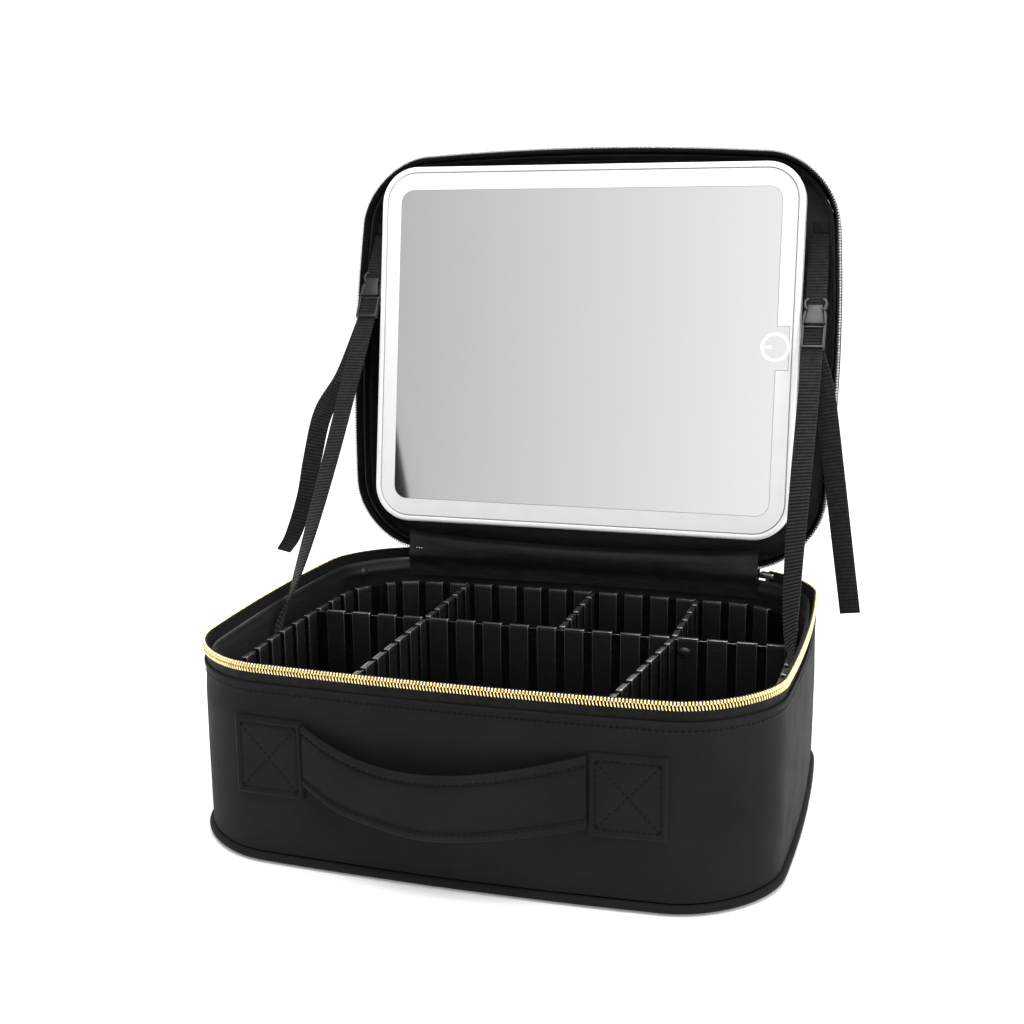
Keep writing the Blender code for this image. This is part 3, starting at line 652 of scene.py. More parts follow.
def make_materials():
    for old in list(bpy.data.materials):
        old.name = f"packed_{old.name}"
    make_leather("outer_leather", grey(0.0085, 0.0009), grey(0.0125, 0.0013), (0.60, 0.74))
    make_leather("handle_leather", grey(0.0078, 0.0016), grey(0.0112, 0.0021), (0.56, 0.68))
    make_satin()
    make_woven("zip_tape", grey(0.002, 0.0001), grey(0.004, 0.0002), 900, 0.5, sheen=0.02)
    make_woven("webbing", grey(0.002, 0.0002), grey(0.0105, 0.0007), 170, 1.0, sheen=0.08)
    make_insert_plastic()
    make_plastic("buckle_plastic", grey(0.0085, 0.0005), grey(0.0130, 0.0005), (0.34, 0.46), 120)
    make_plastic("white_bezel", grey(0.84, 0.01), grey(0.87, 0.01), (0.22, 0.32), 40, coat=0.3)
    make_touch_print()
    make_plastic("thread", grey(0.0008, 0.0001), grey(0.0016, 0.0001), (0.60, 0.75), 900, specular=0.1)
    make_metal("gold_teeth", (0.93, 0.77, 0.42), (0.74, 0.57, 0.27), (0.18, 0.30))
    make_metal("silver_teeth", grey(0.60, 0.01), grey(0.35, 0.01), (0.22, 0.34))
    make_metal("slider_metal", (0.80, 0.74, 0.60), (0.60, 0.54, 0.42), (0.20, 0.32))
    make_glass()
    make_diffuser()
    make_floor()


# ---------------------------------------------------------------- stitching, teeth and piping


def point_along(lengths, values, at):
    """The value at a distance along a path, from the values at its points."""
    return Vector([np.interp(at, lengths, values[:, axis]) for axis in range(values.shape[1])])


def stitch_run(name, path, normals, body=None, turn=None):
    """Thread along a path: separate arched stitches that dip into the leather at both ends."""
    lengths = running_lengths(path)
    points, outward = np.array(path), np.array(normals)
    mesh = bmesh.new()
    count = int(lengths[-1] / STITCH_PITCH)
    for number in range(count):
        start = (number + 0.5) * lengths[-1] / count - STITCH_LENGTH / 2
        rings = []
        for share in (0.0, 0.25, 0.5, 0.75, 1.0):
            at = start + share * STITCH_LENGTH
            centre = point_along(lengths, points, at)
            ahead = point_along(lengths, points, at + STITCH_PITCH * 0.1)
            out = point_along(lengths, outward, at).normalized()
            forward = (ahead - centre).normalized() if (ahead - centre).length else Vector((1, 0, 0))
            side = forward.cross(out)
            arch = math.sin(share * math.pi)
            lift = THREAD_RADIUS * (arch - 0.45)
            thick = THREAD_RADIUS * (0.35 + 0.65 * arch)
            spots = [centre + out * (lift + thick * c) + side * (thick * s) for c, s in unit_circle(6)]
            rings.append([mesh.verts.new(spot) for spot in spots])
        skin(mesh, rings)
    thread = new_object(name, mesh, "thread", turn=turn)
    if body is not None:
        place(thread, body, "outer_leather")
    return thread


def round_path(offset, z, corner=CORNER_RADIUS):
    """The case outline as a 3-D path, closed, with its outward normals."""
    points, normals = even_points(dense_outline(corner), OUTLINE_POINTS)
    path = [(*(point + normal * offset), z) for point, normal in zip(points, normals)]
    outward = [(*normal, 0.0) for normal in normals]
    return path + path[:1], outward + outward[:1]


def zip_path(spacing, gap, corner):
    """Plan points and outward normals from one end of the zip to the other, round the front."""
    points, _ = even_points(dense_outline(corner), ZIP_POINTS)
    line = [(x, y) for x, y in points if y < 0 or not gap[0] < x < gap[1]]
    length = running_lengths(line)[-1]
    return even_points(line, max(2, round(length / spacing)), closed=False)


def zip_teeth(name, z, upwards, gap, material, wide=0.50, turn=None, corner=CORNER_RADIUS):
    """Moulded teeth on the tape's outer face: knobs at its edge, and slanted legs behind them."""
    points, normals = zip_path(TEETH_PITCH, gap, corner)
    # Each level is its share of the height, then in mm its slant and half-width along the zip and its inner
    # and outer reach.
    knob = (
        (0.10, 0.10, wide * 0.85, -0.7, 0.25),
        (0.35, 0.0, wide, -0.75, 0.60),
        (0.75, 0.0, wide, -0.75, 0.60),
        (0.90, 0.0, wide * 0.65, -0.7, 0.20),
    )
    leg = (
        (-1.0, 0.55, wide * 0.6, -0.7, 0.15),
        (-0.80, 0.45, wide * 0.72, -0.7, 0.42),
        (-0.15, 0.10, wide * 0.72, -0.7, 0.48),
        (0.12, 0.0, wide * 0.6, -0.7, 0.20),
    )
    mesh = bmesh.new()
    for point, normal in zip(points, normals):
        tangent = np.array((-normal[1], normal[0]))
        for levels, shift in ((knob, 0.0), (leg, TEETH_PITCH / 2)):
            rings = []
            for share, slant, half, back, out in levels:
                centre = point + tangent * (slant * MM + shift)
                height = z + upwards * share * TEETH_HEIGHT[material] / 2
                outline = [(-half, back), (half, back), (half, out / 2)]
                outline += [(half / 2, out), (-half / 2, out), (-half, out / 2)]
                spots = [centre + tangent * width * MM + normal * reach * MM for width, reach in outline]
                rings.append([mesh.verts.new((*spot, height)) for spot in spots])
            skin(mesh, rings)
    return new_object(name, mesh, material, turn=turn)


def skin(mesh, rings):
    """Closes a small body over a stack of rings of equal length."""
    for one, other in zip(rings, rings[1:]):
        for corner in range(len(one)):
            after = (corner + 1) % len(one)
            mesh.faces.new((one[corner], one[after], other[after], other[corner]))
    mesh.faces.new(rings[0])
    mesh.faces.new(rings[-1])


def zip_tape(name, heights, gap, turn=None, corner=CORNER_RADIUS):
    """The woven tape between the leather and the lining, with a corded edge that the teeth are set on."""
    points, normals = zip_path(TAPE_SPACING, gap, corner)
    sewn, edge = heights
    up = 1 if edge > sewn else -1
    below, beside = edge - up * 0.0012, edge - up * 0.0006
    section = [(-0.8, sewn), (-0.8, below), (-0.6, beside), (-0.9, edge)]
    section += [(-1.3, edge), (-1.6, beside), (-1.5, below), (-1.5, sewn)]
    loops = []
    for point, normal in zip(points, normals):
        loops.append([(*(point + normal * offset * MM), z) for offset, z in section])
    return loft(name, loops, "zip_tape", turn=turn)


def piping(name, offset, centre_z, radius, turn=None, corner=CORNER_RADIUS):
    """A cord bound in leather round the bottom or round the lid's edge."""
    section = [(offset + radius * c, centre_z + radius * s) for c, s in unit_circle(12)]
    return sweep_round(name, section, "outer_leather", turn, crease=0.00015, seed=4, corner=corner)


# ---------------------------------------------------------------- base


def wall_profile(bottom, fold, lean=0.0):
    """A leather wall's section: a soft face that ends in a thin rolled fold, with room behind for the tape.

    The face draws in by lean on its way from the fold to the piping.
    """
    up = 1 if fold > bottom else -1
    height = abs(fold - bottom)
    face = []
    for step in range(15):
        share = step / 14
        groove = 0.00030 if step == 13 else 0.0
        belly = 0.00035 * math.sin(share * math.pi)
        drawn = lean * (1 - share)
        face.append((-0.00030 + belly - groove - drawn, bottom + up * share * (height - 0.0016)))
    roll = [(0.0002, 0.0012), (0.0002, 0.0005), (0.0, 0.0001), (-0.0003, 0.0), (-FOLD_THICKNESS, 0.0004)]
    behind = [(-FOLD_THICKNESS, 0.0032), (-0.0017, 0.0046), (-WALL_THICKNESS, 0.0050)]
    face += [(offset, fold - up * down) for offset, down in roll + behind]
    inside = [(-WALL_THICKNESS, fold - up * height * share) for share in (0.4, 0.6, 0.85)]
    return face + inside + [(-WALL_THICKNESS, bottom)]


def build_base_shell():
    section = wall_profile(WALL_BOTTOM, FOLD_Z)
    wall = sweep_round("base_shell", section, "outer_leather", crease=0.00040, seed=2)
    place(wall, "base", "outer_leather", "base_wall")
    path, outward = round_path(-STITCH_INSET, RIM_STITCH_Z)
    stitch_run("base_rim_stitching", path, outward, "base")
    cord = piping("base_bottom_cord", -STITCH_INSET, CORD_LEVELS["base"], CORD_RADII["base"])
    place(cord, "base", "outer_leather", "base_piping")
    outline = inset_outline(UNDERSIDE_INSET)
    bottom = plate("base_underside", outline, (UNDERSIDE_TOP, 0.0), 0.0007, "outer_leather")
    place(bottom, "base", "outer_leather", "base_bottom_panel")
    teeth = zip_teeth("base_teeth", BASE_TEETH_Z, 1, BASE_ZIP_GAP, "gold_teeth")
    place(teeth, "base", "gold_teeth", "base_zip_teeth")
    tape = zip_tape("base_tape", TAPE_LEVELS["base"], BASE_ZIP_GAP)
    place(tape, "base", "zip_tape", "base_zip_tape")


def lining_profile(rim, floor):
    """The satin's section: a hem at the rim, a welt under it, then loose cloth down to the floor."""
    up = 1 if rim > floor else -1
    hem = [(0.0, -3.5), (0.3, -4.1), (2.0, -4.4), (4.5, -4.4)]
    welt = [(5.4, -4.8), (6.6, -4.9), (7.8, -4.8), (8.6, -4.5)]
    face = [(offset * MM, rim - up * down * MM) for down, offset in hem + welt]
    top = welt[-1][0] * MM
    for step in range(1, 11):
        face.append((-LOOSE_INSET, rim - up * (top + (abs(rim - floor) - top) * step / 10)))
    return face + [(-LINING_INSET, z) for z in (floor, (rim + floor) / 2, rim - up * 0.0006)]


def build_base_lining():
    section = lining_profile(*LINING_LEVELS["base"])
    lining = sweep_round("base_satin", section, "satin_lining", sharp=math.radians(70))
    crumple(lining, FOLD_DEPTHS["base"], FOLD_SPANS["base"])
    place(lining, "base", "satin_lining", "base_lining")


def crumple(obj, depth, span):
    """Presses soft level folds into a lining. They grow from the span's first height to its second."""
    for vertex in obj.data.vertices:
        point = vertex.co
        to_middle = Vector((-point.x, -point.y, 0)).normalized()
        fold = 0.5 + 0.5 * math.sin(point.z * 330 + 3.5 * ripple(point, 0.045, 5))
        loose = 0.5 + 0.5 * ripple(point, 0.035, 6)
        grown = smoothstep((point.z - span[0]) / (span[1] - span[0]))
        vertex.co = point + to_middle * depth * fold * loose * grown


# ---------------------------------------------------------------- tray


def into_pad(where, spans):
    """0 in a groove, rising to 1 across the rounded flank of a pad."""
    reach = max((min(where - start, end - where) for start, end in spans), default=0.0)
    return clamp(reach / RIB_FLANK)


def pad_height(inside, below):
    """A pad's height from 0 to 1: its flanks are rounded, and so is its shoulder, just below the rim."""
    side = 1 - inside
    shoulder = BROW_DEPTH * (1 - min(below / PAD_BROW, 1.0))
    return math.sqrt(max(1 - side * side - shoulder * shoulder, 0.0))


def relief(inside, below):
    """Painted light at a point: 0 for painted shade in a groove, a half on a pad's face, and 1 for a
    painted highlight where its edge meets the rim.
    """
    # A painted highlight along a pad's edge, fading out within EDGE_GLINT below the rim.
    edge = math.exp(-(((inside - 0.60) / 0.26) ** 2)) * (1 - smoothstep(below / EDGE_GLINT))
    return 0.5 * smoothstep(inside * 2.5) + 0.5 * edge


def rib_samples(low, high, spans):
    """Where along a sheet to set its sections: close together on the flanks of the pads."""
    flank = [RIB_FLANK * share for share in (-0.3, 0.0, 0.06, 0.16, 0.30, 0.5, 0.75, 1.0)]
    samples = {low, high}
    for start, end in spans:
        samples |= {start + step for step in flank} | {end - step for step in flank}
        samples |= {start + (end - start) * share for share in (0.3, 0.5, 0.7)}
    return sorted(sample for sample in samples if low <= sample <= high)


def pads_between(low, high, first_centre):
    """The start and end of each pad, at the tray's pitch, leaving out a sliver at either end."""
    spans = []
    for step in range(-12, 13):
        centre = first_centre + step * RIB_PITCH
        start = max(centre - RIB_WIDTH / 2, low)
        end = min(centre + RIB_WIDTH / 2, high)
        if end - start > RIB_WIDTH / 3:
            spans.append((start, end))
    return spans


def ribbed_sheet(name, path, low, high, spans, faces, heights):
    """A thermoformed sheet. faces gives the core and pad depth on its left side and on its right side."""
    points = np.array(path)
    lengths = np.array(running_lengths(path))
    lengths -= lengths[-1] / 2
    bottom, top = heights
    loops, painted_shade_and_glint_values = [], []
    for s in rib_samples(low, high, spans):
        inside = into_pad(s, spans)
        x, y = point_along(lengths, points, s)
        ahead = point_along(lengths, points, min(s + MM, lengths[-1]))
        behind = point_along(lengths, points, max(s - MM, lengths[0]))
        tangent = (ahead - behind).normalized()
        normal = Vector((-tangent.y, tangent.x))
        rim = top - NECK_DROP * (1 - pad_height(inside, PAD_BROW))
        left, right = (sheet_face(core, pad, inside, bottom, rim) for core, pad in faces)
        section = left + [(-offset, z) for offset, z in reversed(right)]
        loops.append([(x + normal.x * offset, y + normal.y * offset, z) for offset, z in section])
        # Painted shade and highlight for each point of the section, read by the insert's colour.
        painted_shade_and_glint_values += [relief(inside, rim - z) for offset, z in section]
    sheet = loft(name, loops, "insert_plastic", sharp=math.radians(60))
    sheet.data.attributes.new("relief", "FLOAT", "POINT").data.foreach_set("value", painted_shade_and_glint_values)
    return sheet


def sheet_face(core, pad, inside, bottom, rim):
    """One face of a sheet, from its bottom to its rim, whose edge is just broken."""
    downs = [rim - bottom, (rim - bottom) * 0.5]
    downs += [PAD_BROW * share for share in (1.0, 0.8, 0.62, 0.46, 0.32, 0.20, 0.10, 0.04)]
    face = [(core + pad * pad_height(inside, down), rim - down) for down in downs]
    return face + [(core + pad * pad_height(inside, 0.0) - 0.0002, rim)]


def wall_side(turn):
    """One side of the tray, from corner middle to corner middle, with the inside on its left."""
    points, normals = even_points(dense_outline(), TRAY_POINTS)
    line = [tuple(point - normal * INSERT_INSET) for point, normal in zip(points, normals)]
    corners = []
    for sx, sy in QUARTERS:
        corners.append(max(range(TRAY_POINTS), key=lambda i: sx * line[i][0] + sy * line[i][1]))
    start, end = corners[turn], corners[(turn + 1) % 4]
    return [line[i % TRAY_POINTS] for i in range(start, end if end > start else end + TRAY_POINTS)]


def build_insert_walls():
    sides = {
        "insert_back_wall": (0, -GROOVE_X + RIB_PITCH / 2),
        "insert_left_wall": (1, -LONG_DIVIDER_Y + RIB_PITCH / 2),
        "insert_front_wall": (2, GROOVE_X + RIB_PITCH / 2),
        "insert_right_wall": (3, LONG_DIVIDER_Y + RIB_PITCH / 2),
    }
    for node, (turn, first) in sides.items():
        path = wall_side(turn)
        reach = running_lengths(path)[-1] / 2 - WALL_END_GAP
        spans = pads_between(PAD_MARGIN - reach, reach - PAD_MARGIN, first)
        faces = ((INSERT_CORE, INSERT_PAD), (0.0, 0.0))
        wall = ribbed_sheet(f"{node}_ribbed", path, -reach, reach, spans, faces, WALL_LEVELS)
        place(wall, "base", "insert_plastic", node)
    floor = plate("insert_floor_sheet", inset_outline(0.0048), FLOOR_LEVELS, 0.0005, "insert_plastic")
    place(floor, "base", "insert_plastic", "insert_floor")


def cross_dividers():
    left, right = GROOVE_X - 5 * RIB_PITCH, GROOVE_X + 4 * RIB_PITCH
    return {
        "divider_front_left": ("front", left, left),
        "divider_front_right": ("front", GROOVE_X + 3 * RIB_PITCH, right),
        "divider_back_left": ("back", left, left),
        "divider_back_middle": ("back", GROOVE_X, GROOVE_X),
        "divider_back_right": ("back", right, right),
    }


def divider(node, start, end, first, low, high):
    half = math.dist(start, end) / 2
    faces = ((DIVIDER_CORE / 2, DIVIDER_PAD),) * 2
    spans = pads_between(low, high, first)
    sheet = ribbed_sheet(f"{node}_ribbed", [start, end], -half, half, spans, faces, DIVIDER_LEVELS)
    place(sheet, node, "insert_plastic", node)


def build_dividers():
    groove_face = INSERT_INSET + INSERT_CORE
    half = CASE_WIDTH / 2 - groove_face + bow(LONG_DIVIDER_Y, CASE_DEPTH / 2) - SLIDING_GAP
    reach = half - INSERT_PAD - SLIDING_GAP
    ends = [(x, LONG_DIVIDER_Y) for x in (-half, half)]
    divider("divider_long", *ends, GROOVE_X + RIB_PITCH / 2, -reach, reach)
    long_face = DIVIDER_CORE / 2 + SLIDING_GAP
    for node, (row, wall_x, long_x) in cross_dividers().items():
        side = -1 if row == "front" else 1
        wall_end = (wall_x, side * (back_y(wall_x, groove_face) - SLIDING_GAP))
        long_end = (long_x, LONG_DIVIDER_Y + side * long_face)
        half = math.dist(wall_end, long_end) / 2
        wall_pad, long_pad = (half - pad - SLIDING_GAP for pad in (INSERT_PAD, DIVIDER_PAD))
        start, end, low, high = wall_end, long_end, -wall_pad, long_pad
        if row == "back":
            start, end, low, high = long_end, wall_end, -long_pad, wall_pad
        divider(node, start, end, side * (RIB_PITCH / 2 - half - long_face), low, high)


def build_fittings():
    """A moulded boss on the long divider and a snap on the lining, in the back left corner."""
    boss = button("divider_boss", BOSS_PLACE, BOSS_FACING, (0.0035, 0.0025))
    place(boss, "divider_long", "insert_plastic")
    snap = button("lining_snap", SNAP_PLACE, SNAP_FACING, (0.0026, 0.0026))
    place(snap, "base", "satin_lining")


def button(name, centre, facing, half):
    """A low dome on an upright face. half is half its width and half its height."""
    across = facing.cross(Vector((0, 0, 1)))
    loops = []
    for share in (-0.4, 0.0, 0.35, 0.65, 0.88, 0.97):
        scale = math.sqrt(1 - max(share, 0.0) ** 2)
        loop = []
        for c, s in unit_circle(24):
            spot = centre + across * (half[0] * scale * c) + facing * (BUTTON_HEIGHT * share)
            loop.append(spot + Vector((0, 0, half[1] * scale * s)))
        loops.append(loop)
    return loft(name, loops, "buckle_plastic")


# ---------------------------------------------------------------- handle


def band_centre(share):
    """The middle of the handle band, and half its height, from -1 at its left end to 1 at its right."""
    x = HANDLE_X + BAND_REACH * share
    slack = 1 - share * share
    sag = BAND_SAG * slack * (1 - 0.42 * share)
    upper = BAND_HIGH - sag - 0.0020 * slack
    pinch = 0.0022 * smoothstep(-share * 2) + 0.0018 * smoothstep((-share - 0.7) / 0.3)
    lower = BAND_LOW + pinch - sag + 0.0012 * slack
    y = front_y(x) - BAND_PROUD - BAND_SLACK * slack
    return Vector((x, y, (upper + lower) / 2)), (upper - lower) / 2


def band_section(share):
    """The band's closed section, with rolled edges that stand a little proud of its face."""
    centre, half = band_centre(share)
    roll = [(1.00, 0.0), (0.985, 0.9), (0.94, 1.5), (0.85, 1.65), (0.755, 1.5), (0.735, 0.85)]
    upper = roll + [(0.715, 0.6), (0.69, 0.9), (0.4, 1.15)]
    face = upper + [(0.0, 1.2)] + [(-height, depth) for height, depth in reversed(upper)]
    back = [(height, -1.0) for height in (-0.97, -0.5, 0.0, 0.5, 0.97)]
    return [(centre.x, centre.y - depth * MM, centre.z + height * half) for height, depth in face + back]


def build_handle():
    """The band is in two halves, each from its tab to the middle of the handle."""
    halves = {"left": (-1.0, 0.0, -0.05), "right": (0.0, 1.0, 0.05)}
    for name, (start, end, middle) in halves.items():
        shares = np.linspace(start, end, 31)
        band = loft(f"handle_band_{name}", [band_section(share) for share in shares], "handle_leather")
        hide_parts("handle_band")
        pieces = [band]
        for level in (-BAND_SEAM, BAND_SEAM):
            path, outward = [], []
            for share in shares:
                centre, half = band_centre(share)
                path.append((centre.x, centre.y - BAND_STITCH_PROUD, centre.z + level * half))
                outward.append((0, -1, 0))
            edge = "upper" if level > 0 else "lower"
            pieces.append(stitch_run(f"handle_stitching_{name}_{edge}", path, outward))
        for piece in pieces:
            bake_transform(piece)
    for name, side in SIDES.items():
        build_tab(name, side)


def build_tab(name, side):
    """A padded square of leather, turned under at its edges and sewn with a box and a cross."""
    shares = [2 * i / TAB_STEPS - 1 for i in range(TAB_STEPS + 1)]
    rows = []
    for u in shares:
        column = [tab_point(side, u, v, tab_thickness(u, v)) for v in shares]
        back = [tab_point(side, u, v, 0.3) for v in (1, 0, -1)]
        rows.append(column + back)
    tab = loft(f"handle_tab_{name}_sewn", rows, "handle_leather", sharp=math.radians(75))
    place(tab, "base", "outer_leather", f"handle_tab_{name}")
    corners = [(sx * TAB_SEAM, sy * TAB_SEAM) for sx, sy in ((-1, -1), (1, -1), (1, 1), (-1, 1))]
    box = list(zip(corners, corners[1:] + corners[:1]))
    cross = [(corners[0], corners[2]), (corners[1], corners[3])]
    runs = []
    for number, (start, end) in enumerate(box + cross):
        path = [tab_point(side, *between(start, end, share), 1.28) for share in np.linspace(0, 1, 9)]
        runs.append(stitch_run(f"tab_stitching_{name}_{number}", path, [(0, -1, 0)] * len(path)))
    place(merged(f"handle_tab_{name}_stitching", runs), "base", "outer_leather")


def tab_point(side, u, v, proud):
    """A point of a tab, from -1 to 1 across and up it, this many mm in front of the case."""
    low, high = TAB_Z
    x = HANDLE_X + side * TAB_OFFSET + u * TAB_WIDTH / 2
    return x, front_y(x) - proud * MM, (low + high) / 2 + v * (high - low) / 2


def tab_thickness(u, v):
    """How proud the tab's face stands, in mm: a rolled edge, and grooves where it is sewn."""
    edge = min(1 - abs(u), 1 - abs(v))
    diagonal = min(abs(u - v), abs(u + v))
    rise = smoothstep(edge / 0.08) * (1.2 + 0.65 * (1 - smoothstep((edge - 0.10) / 0.05)))
    seam = 0.45 * math.exp(-(((edge - 0.19) / 0.030) ** 2))
    cross = 0.40 * math.exp(-((diagonal / 0.06) ** 2)) * smoothstep((edge - 0.17) / 0.06)
    return 0.45 + rise - seam - cross


# ---------------------------------------------------------------- lid and mirror


def build_lid():
    turn = open_lid_matrix()
    corner = LID_CORNER_RADIUS
    section = wall_profile(LID_WALL_TOP, LID_FOLD_Z, LID_LEAN)
    wall = sweep_round("lid_shell", section, "outer_leather", turn, 0.00035, seed=3, corner=corner)
    place(wall, "lid", "outer_leather", "lid_wall")
    path, outward = round_path(-0.0005, LID_FOLD_Z + 0.0040, corner)
    stitch_run("lid_rim_stitching", path, outward, "lid", turn=turn)
    cord = piping("lid_edge_cord", -0.0002 - LID_LEAN, CORD_LEVELS["lid"], CORD_RADII["lid"], turn, corner)
    place(cord, "lid", "outer_leather", "lid_piping")
    outline = inset_outline(LID_PANEL_INSET + LID_LEAN, corner)
    top = plate("lid_top_sheet", outline, (LID_PANEL_BACK, LID_TOP_Z), 0.0012, "outer_leather", turn)
    place(top, "lid", "outer_leather", "lid_top_panel")
    section = lining_profile(*LINING_LEVELS["lid"])
    lining = sweep_round("lid_satin", section, "satin_lining", sharp=math.radians(70), corner=corner)
    crumple(lining, FOLD_DEPTHS["lid"], FOLD_SPANS["lid"])
    lining.data.transform(turn)
    place(lining, "lid", "satin_lining", "lid_lining")
    outline = inset_outline(LID_SHEET_INSET, corner)
    sheet = plate("lid_satin_sheet", outline, LID_SHEET_LEVELS, 0.0002, "satin_lining", turn)
    place(sheet, "lid", "satin_lining", "lid_lining_panel")
    teeth = zip_teeth("lid_teeth", LID_TEETH_Z, -1, LID_ZIP_GAP, "silver_teeth", 0.36, turn, corner)
    place(teeth, "lid", "silver_teeth", "lid_zip_teeth")
    tape = zip_tape("lid_tape", TAPE_LEVELS["lid"], LID_ZIP_GAP, turn, corner)
    place(tape, "lid", "zip_tape", "lid_zip_tape")
    outline = mirror_outline(BED_HALF, MIRROR_RADIUS)
    pad = plate("mirror_bed", outline, BED_LEVELS, 0.004, "satin_lining", turn)
    place(pad, "lid", "satin_lining", "mirror_mount_pad")


def mirror_shell(turn):
    """The white casing: a tray with a rounded rim round a recess for glass and lights."""
    back = [(0.0016, 0.0905), (0.0004, 0.0901), (0.0, 0.0893)]
    rim = [(0.0, 0.0806), (0.0003, 0.0796), (0.0009, 0.0791), (0.0015, 0.0790), (0.0024, 0.0790)]
    recess = [(0.0029, 0.0792), (BEZEL, 0.0796), (BEZEL, 0.0828)]
    levels = []
    for inset, z in back + rim + recess:
        half = tuple(size - inset for size in MIRROR_HALF)
        levels.append((mirror_outline(half, MIRROR_RADIUS - inset), z))
    return loft("mirror_casing", stacked(*levels), "white_bezel", turn=turn)


def build_mirror():
    turn = open_lid_matrix()
    place(mirror_shell(turn), "mirror", "white_bezel", "mirror_shell")
    back, face = GLASS_LEVELS
    pane = glass_outline(0.0)
    glass = loft("mirror_pane", stacked((pane, back), (pane, face)), "mirror_glass", turn=turn)
    place(glass, "mirror", "mirror_glass", "mirror_glass")
    clear = GLASS_CLEARANCE
    inset = BEZEL + LIGHT_GROOVE
    half = tuple(size - inset for size in MIRROR_HALF)
    low, high = TOUCH_Y[0] - clear, TOUCH_Y[1] + clear
    outer = mirror_outline(half, MIRROR_RADIUS - inset)
    outer += [(half[0], y) for y in (low - clear, low, high, high + clear)]
    inner = glass_outline(clear)
    loops = stacked((outer, back), (outer, face), (inner, face), (inner, back))
    light = loft("mirror_lights", loops, "light_frame", closed=True, turn=turn)
    place(light, "mirror", "light_frame", "mirror_light_frame")
    build_touch_print(turn)


def glass_outline(wider):
    """The glass with the tab on its right side that carries the touch symbol, wider all round."""
    half = tuple(size + wider for size in GLASS_HALF)
    tab_x = MIRROR_HALF[0] - BEZEL - LIGHT_STRIP + wider
    low, high = TOUCH_Y[0] - wider, TOUCH_Y[1] + wider
    tab = [(half[0], low), (tab_x, low), (tab_x, high), (half[0], high)]
    return mirror_outline(half, GLASS_RADIUS + wider) + tab


def build_touch_print(turn):
    """The printed power symbol: a ring with a short dash in it."""
    x, y = TOUCH_RING_CENTRE
    inner, outer = TOUCH_RING_RADII
    back, face = PRINT_LEVELS
    section = ((inner, back), (outer, back), (outer, face), (inner, face))
    loops = []
    for c, s in unit_circle(48):
        loops.append([(x + c * radius, y + s * radius, z) for radius, z in section])
    ring = loft("touch_symbol_ring", loops, "touch_print", closed=True, turn=turn)
    place(ring, "mirror", "touch_print", "touch_ring")
    left, right = (x + reach for reach in TOUCH_DASH_X)
    low, high = y - TOUCH_DASH_HALF, y + TOUCH_DASH_HALF
    dash = [(left, low), (right, low), (right, high), (left, high)]
    mark = loft("touch_symbol_dash", stacked((dash, back), (dash, face)), "touch_print", turn=turn)
    place(mark, "mirror", "touch_print")


# ---------------------------------------------------------------- straps


def smooth_path(knots, steps):
    """A Catmull-Rom curve through the knots, which may carry a twist as a fourth number."""
    ends = [2 * knots[0] - knots[1], *knots, 2 * knots[-1] - knots[-2]]
    points = []
    for before, start, end, after in zip(ends, ends[1:], ends[2:], ends[3:]):
        for step in range(steps):
            t = step / steps
            slope = (end - before) * 0.5 * t
            bend = (2 * before - 5 * start + 4 * end - after) * 0.5 * t * t
            curl = (3 * (start - end) + after - before) * 0.5 * t**3
            points.append(start + slope + bend + curl)
    return points + [knots[-1]]


def webbing(name, knots):
    """A woven band with rounded selvedges along 4-D knots: place and twist about the path."""
    path = smooth_path(knots, WEBBING_STEPS)
    face = [(-0.96, -0.7), (-0.85, -1), (0, -0.9), (0.85, -1), (0.96, -0.7)]
    section = [(-1, 0), *face, (1, 0), *((-across, -out) for across, out in face)]
    loops = []
    for index, knot in enumerate(path):
        before, after = path[max(index - 1, 0)], path[min(index + 1, len(path) - 1)]
        forward = (after.xyz - before.xyz).normalized()
        sideways = Vector((1, 0, 0)) - forward * forward.x
        width = Matrix.Rotation(knot.w, 3, forward) @ sideways.normalized() * (WEBBING_WIDTH / 2)
        depth = forward.cross(width).normalized() * (WEBBING_THICKNESS / 2)
        loops.append([knot.xyz + width * across + depth * out for across, out in section])
    return loft(name, loops, "webbing", sharp=math.radians(80))


def link_frame(side, distance):
    """Strap axes at a distance below the lid anchor: X across, Y along the strap, Z out of its face."""
    facing = Vector((1, 0, 0)).cross(LINK_DIRECTION)
    origin = LID_ANCHOR + LINK_DIRECTION * distance + Vector((side * STRAP_X, 0, 0))
    frame = Matrix((Vector((1, 0, 0)), LINK_DIRECTION, facing)).transposed().to_4x4()
    return Matrix.Translation(origin) @ frame


def rounded_copy(node, name, width, material, segments=3):
    """A CAD solid's own shape with its flat faces restored and its edges rounded."""
    source = bpy.data.objects[node]
    mesh = bmesh.new()
    mesh.from_mesh(source.data)
    bmesh.ops.remove_doubles(mesh, verts=mesh.verts, dist=1e-6)
    bmesh.ops.dissolve_limit(mesh, angle_limit=math.radians(1), verts=mesh.verts, edges=mesh.edges)
    obj = new_object(name, mesh, material)
    bevel = obj.modifiers.new("edges", "BEVEL")
    bevel.width = width
    bevel.segments = segments
    bevel.limit_method = "ANGLE"
    bevel.angle_limit = math.radians(25)
    bevel.harden_normals = True
    return obj


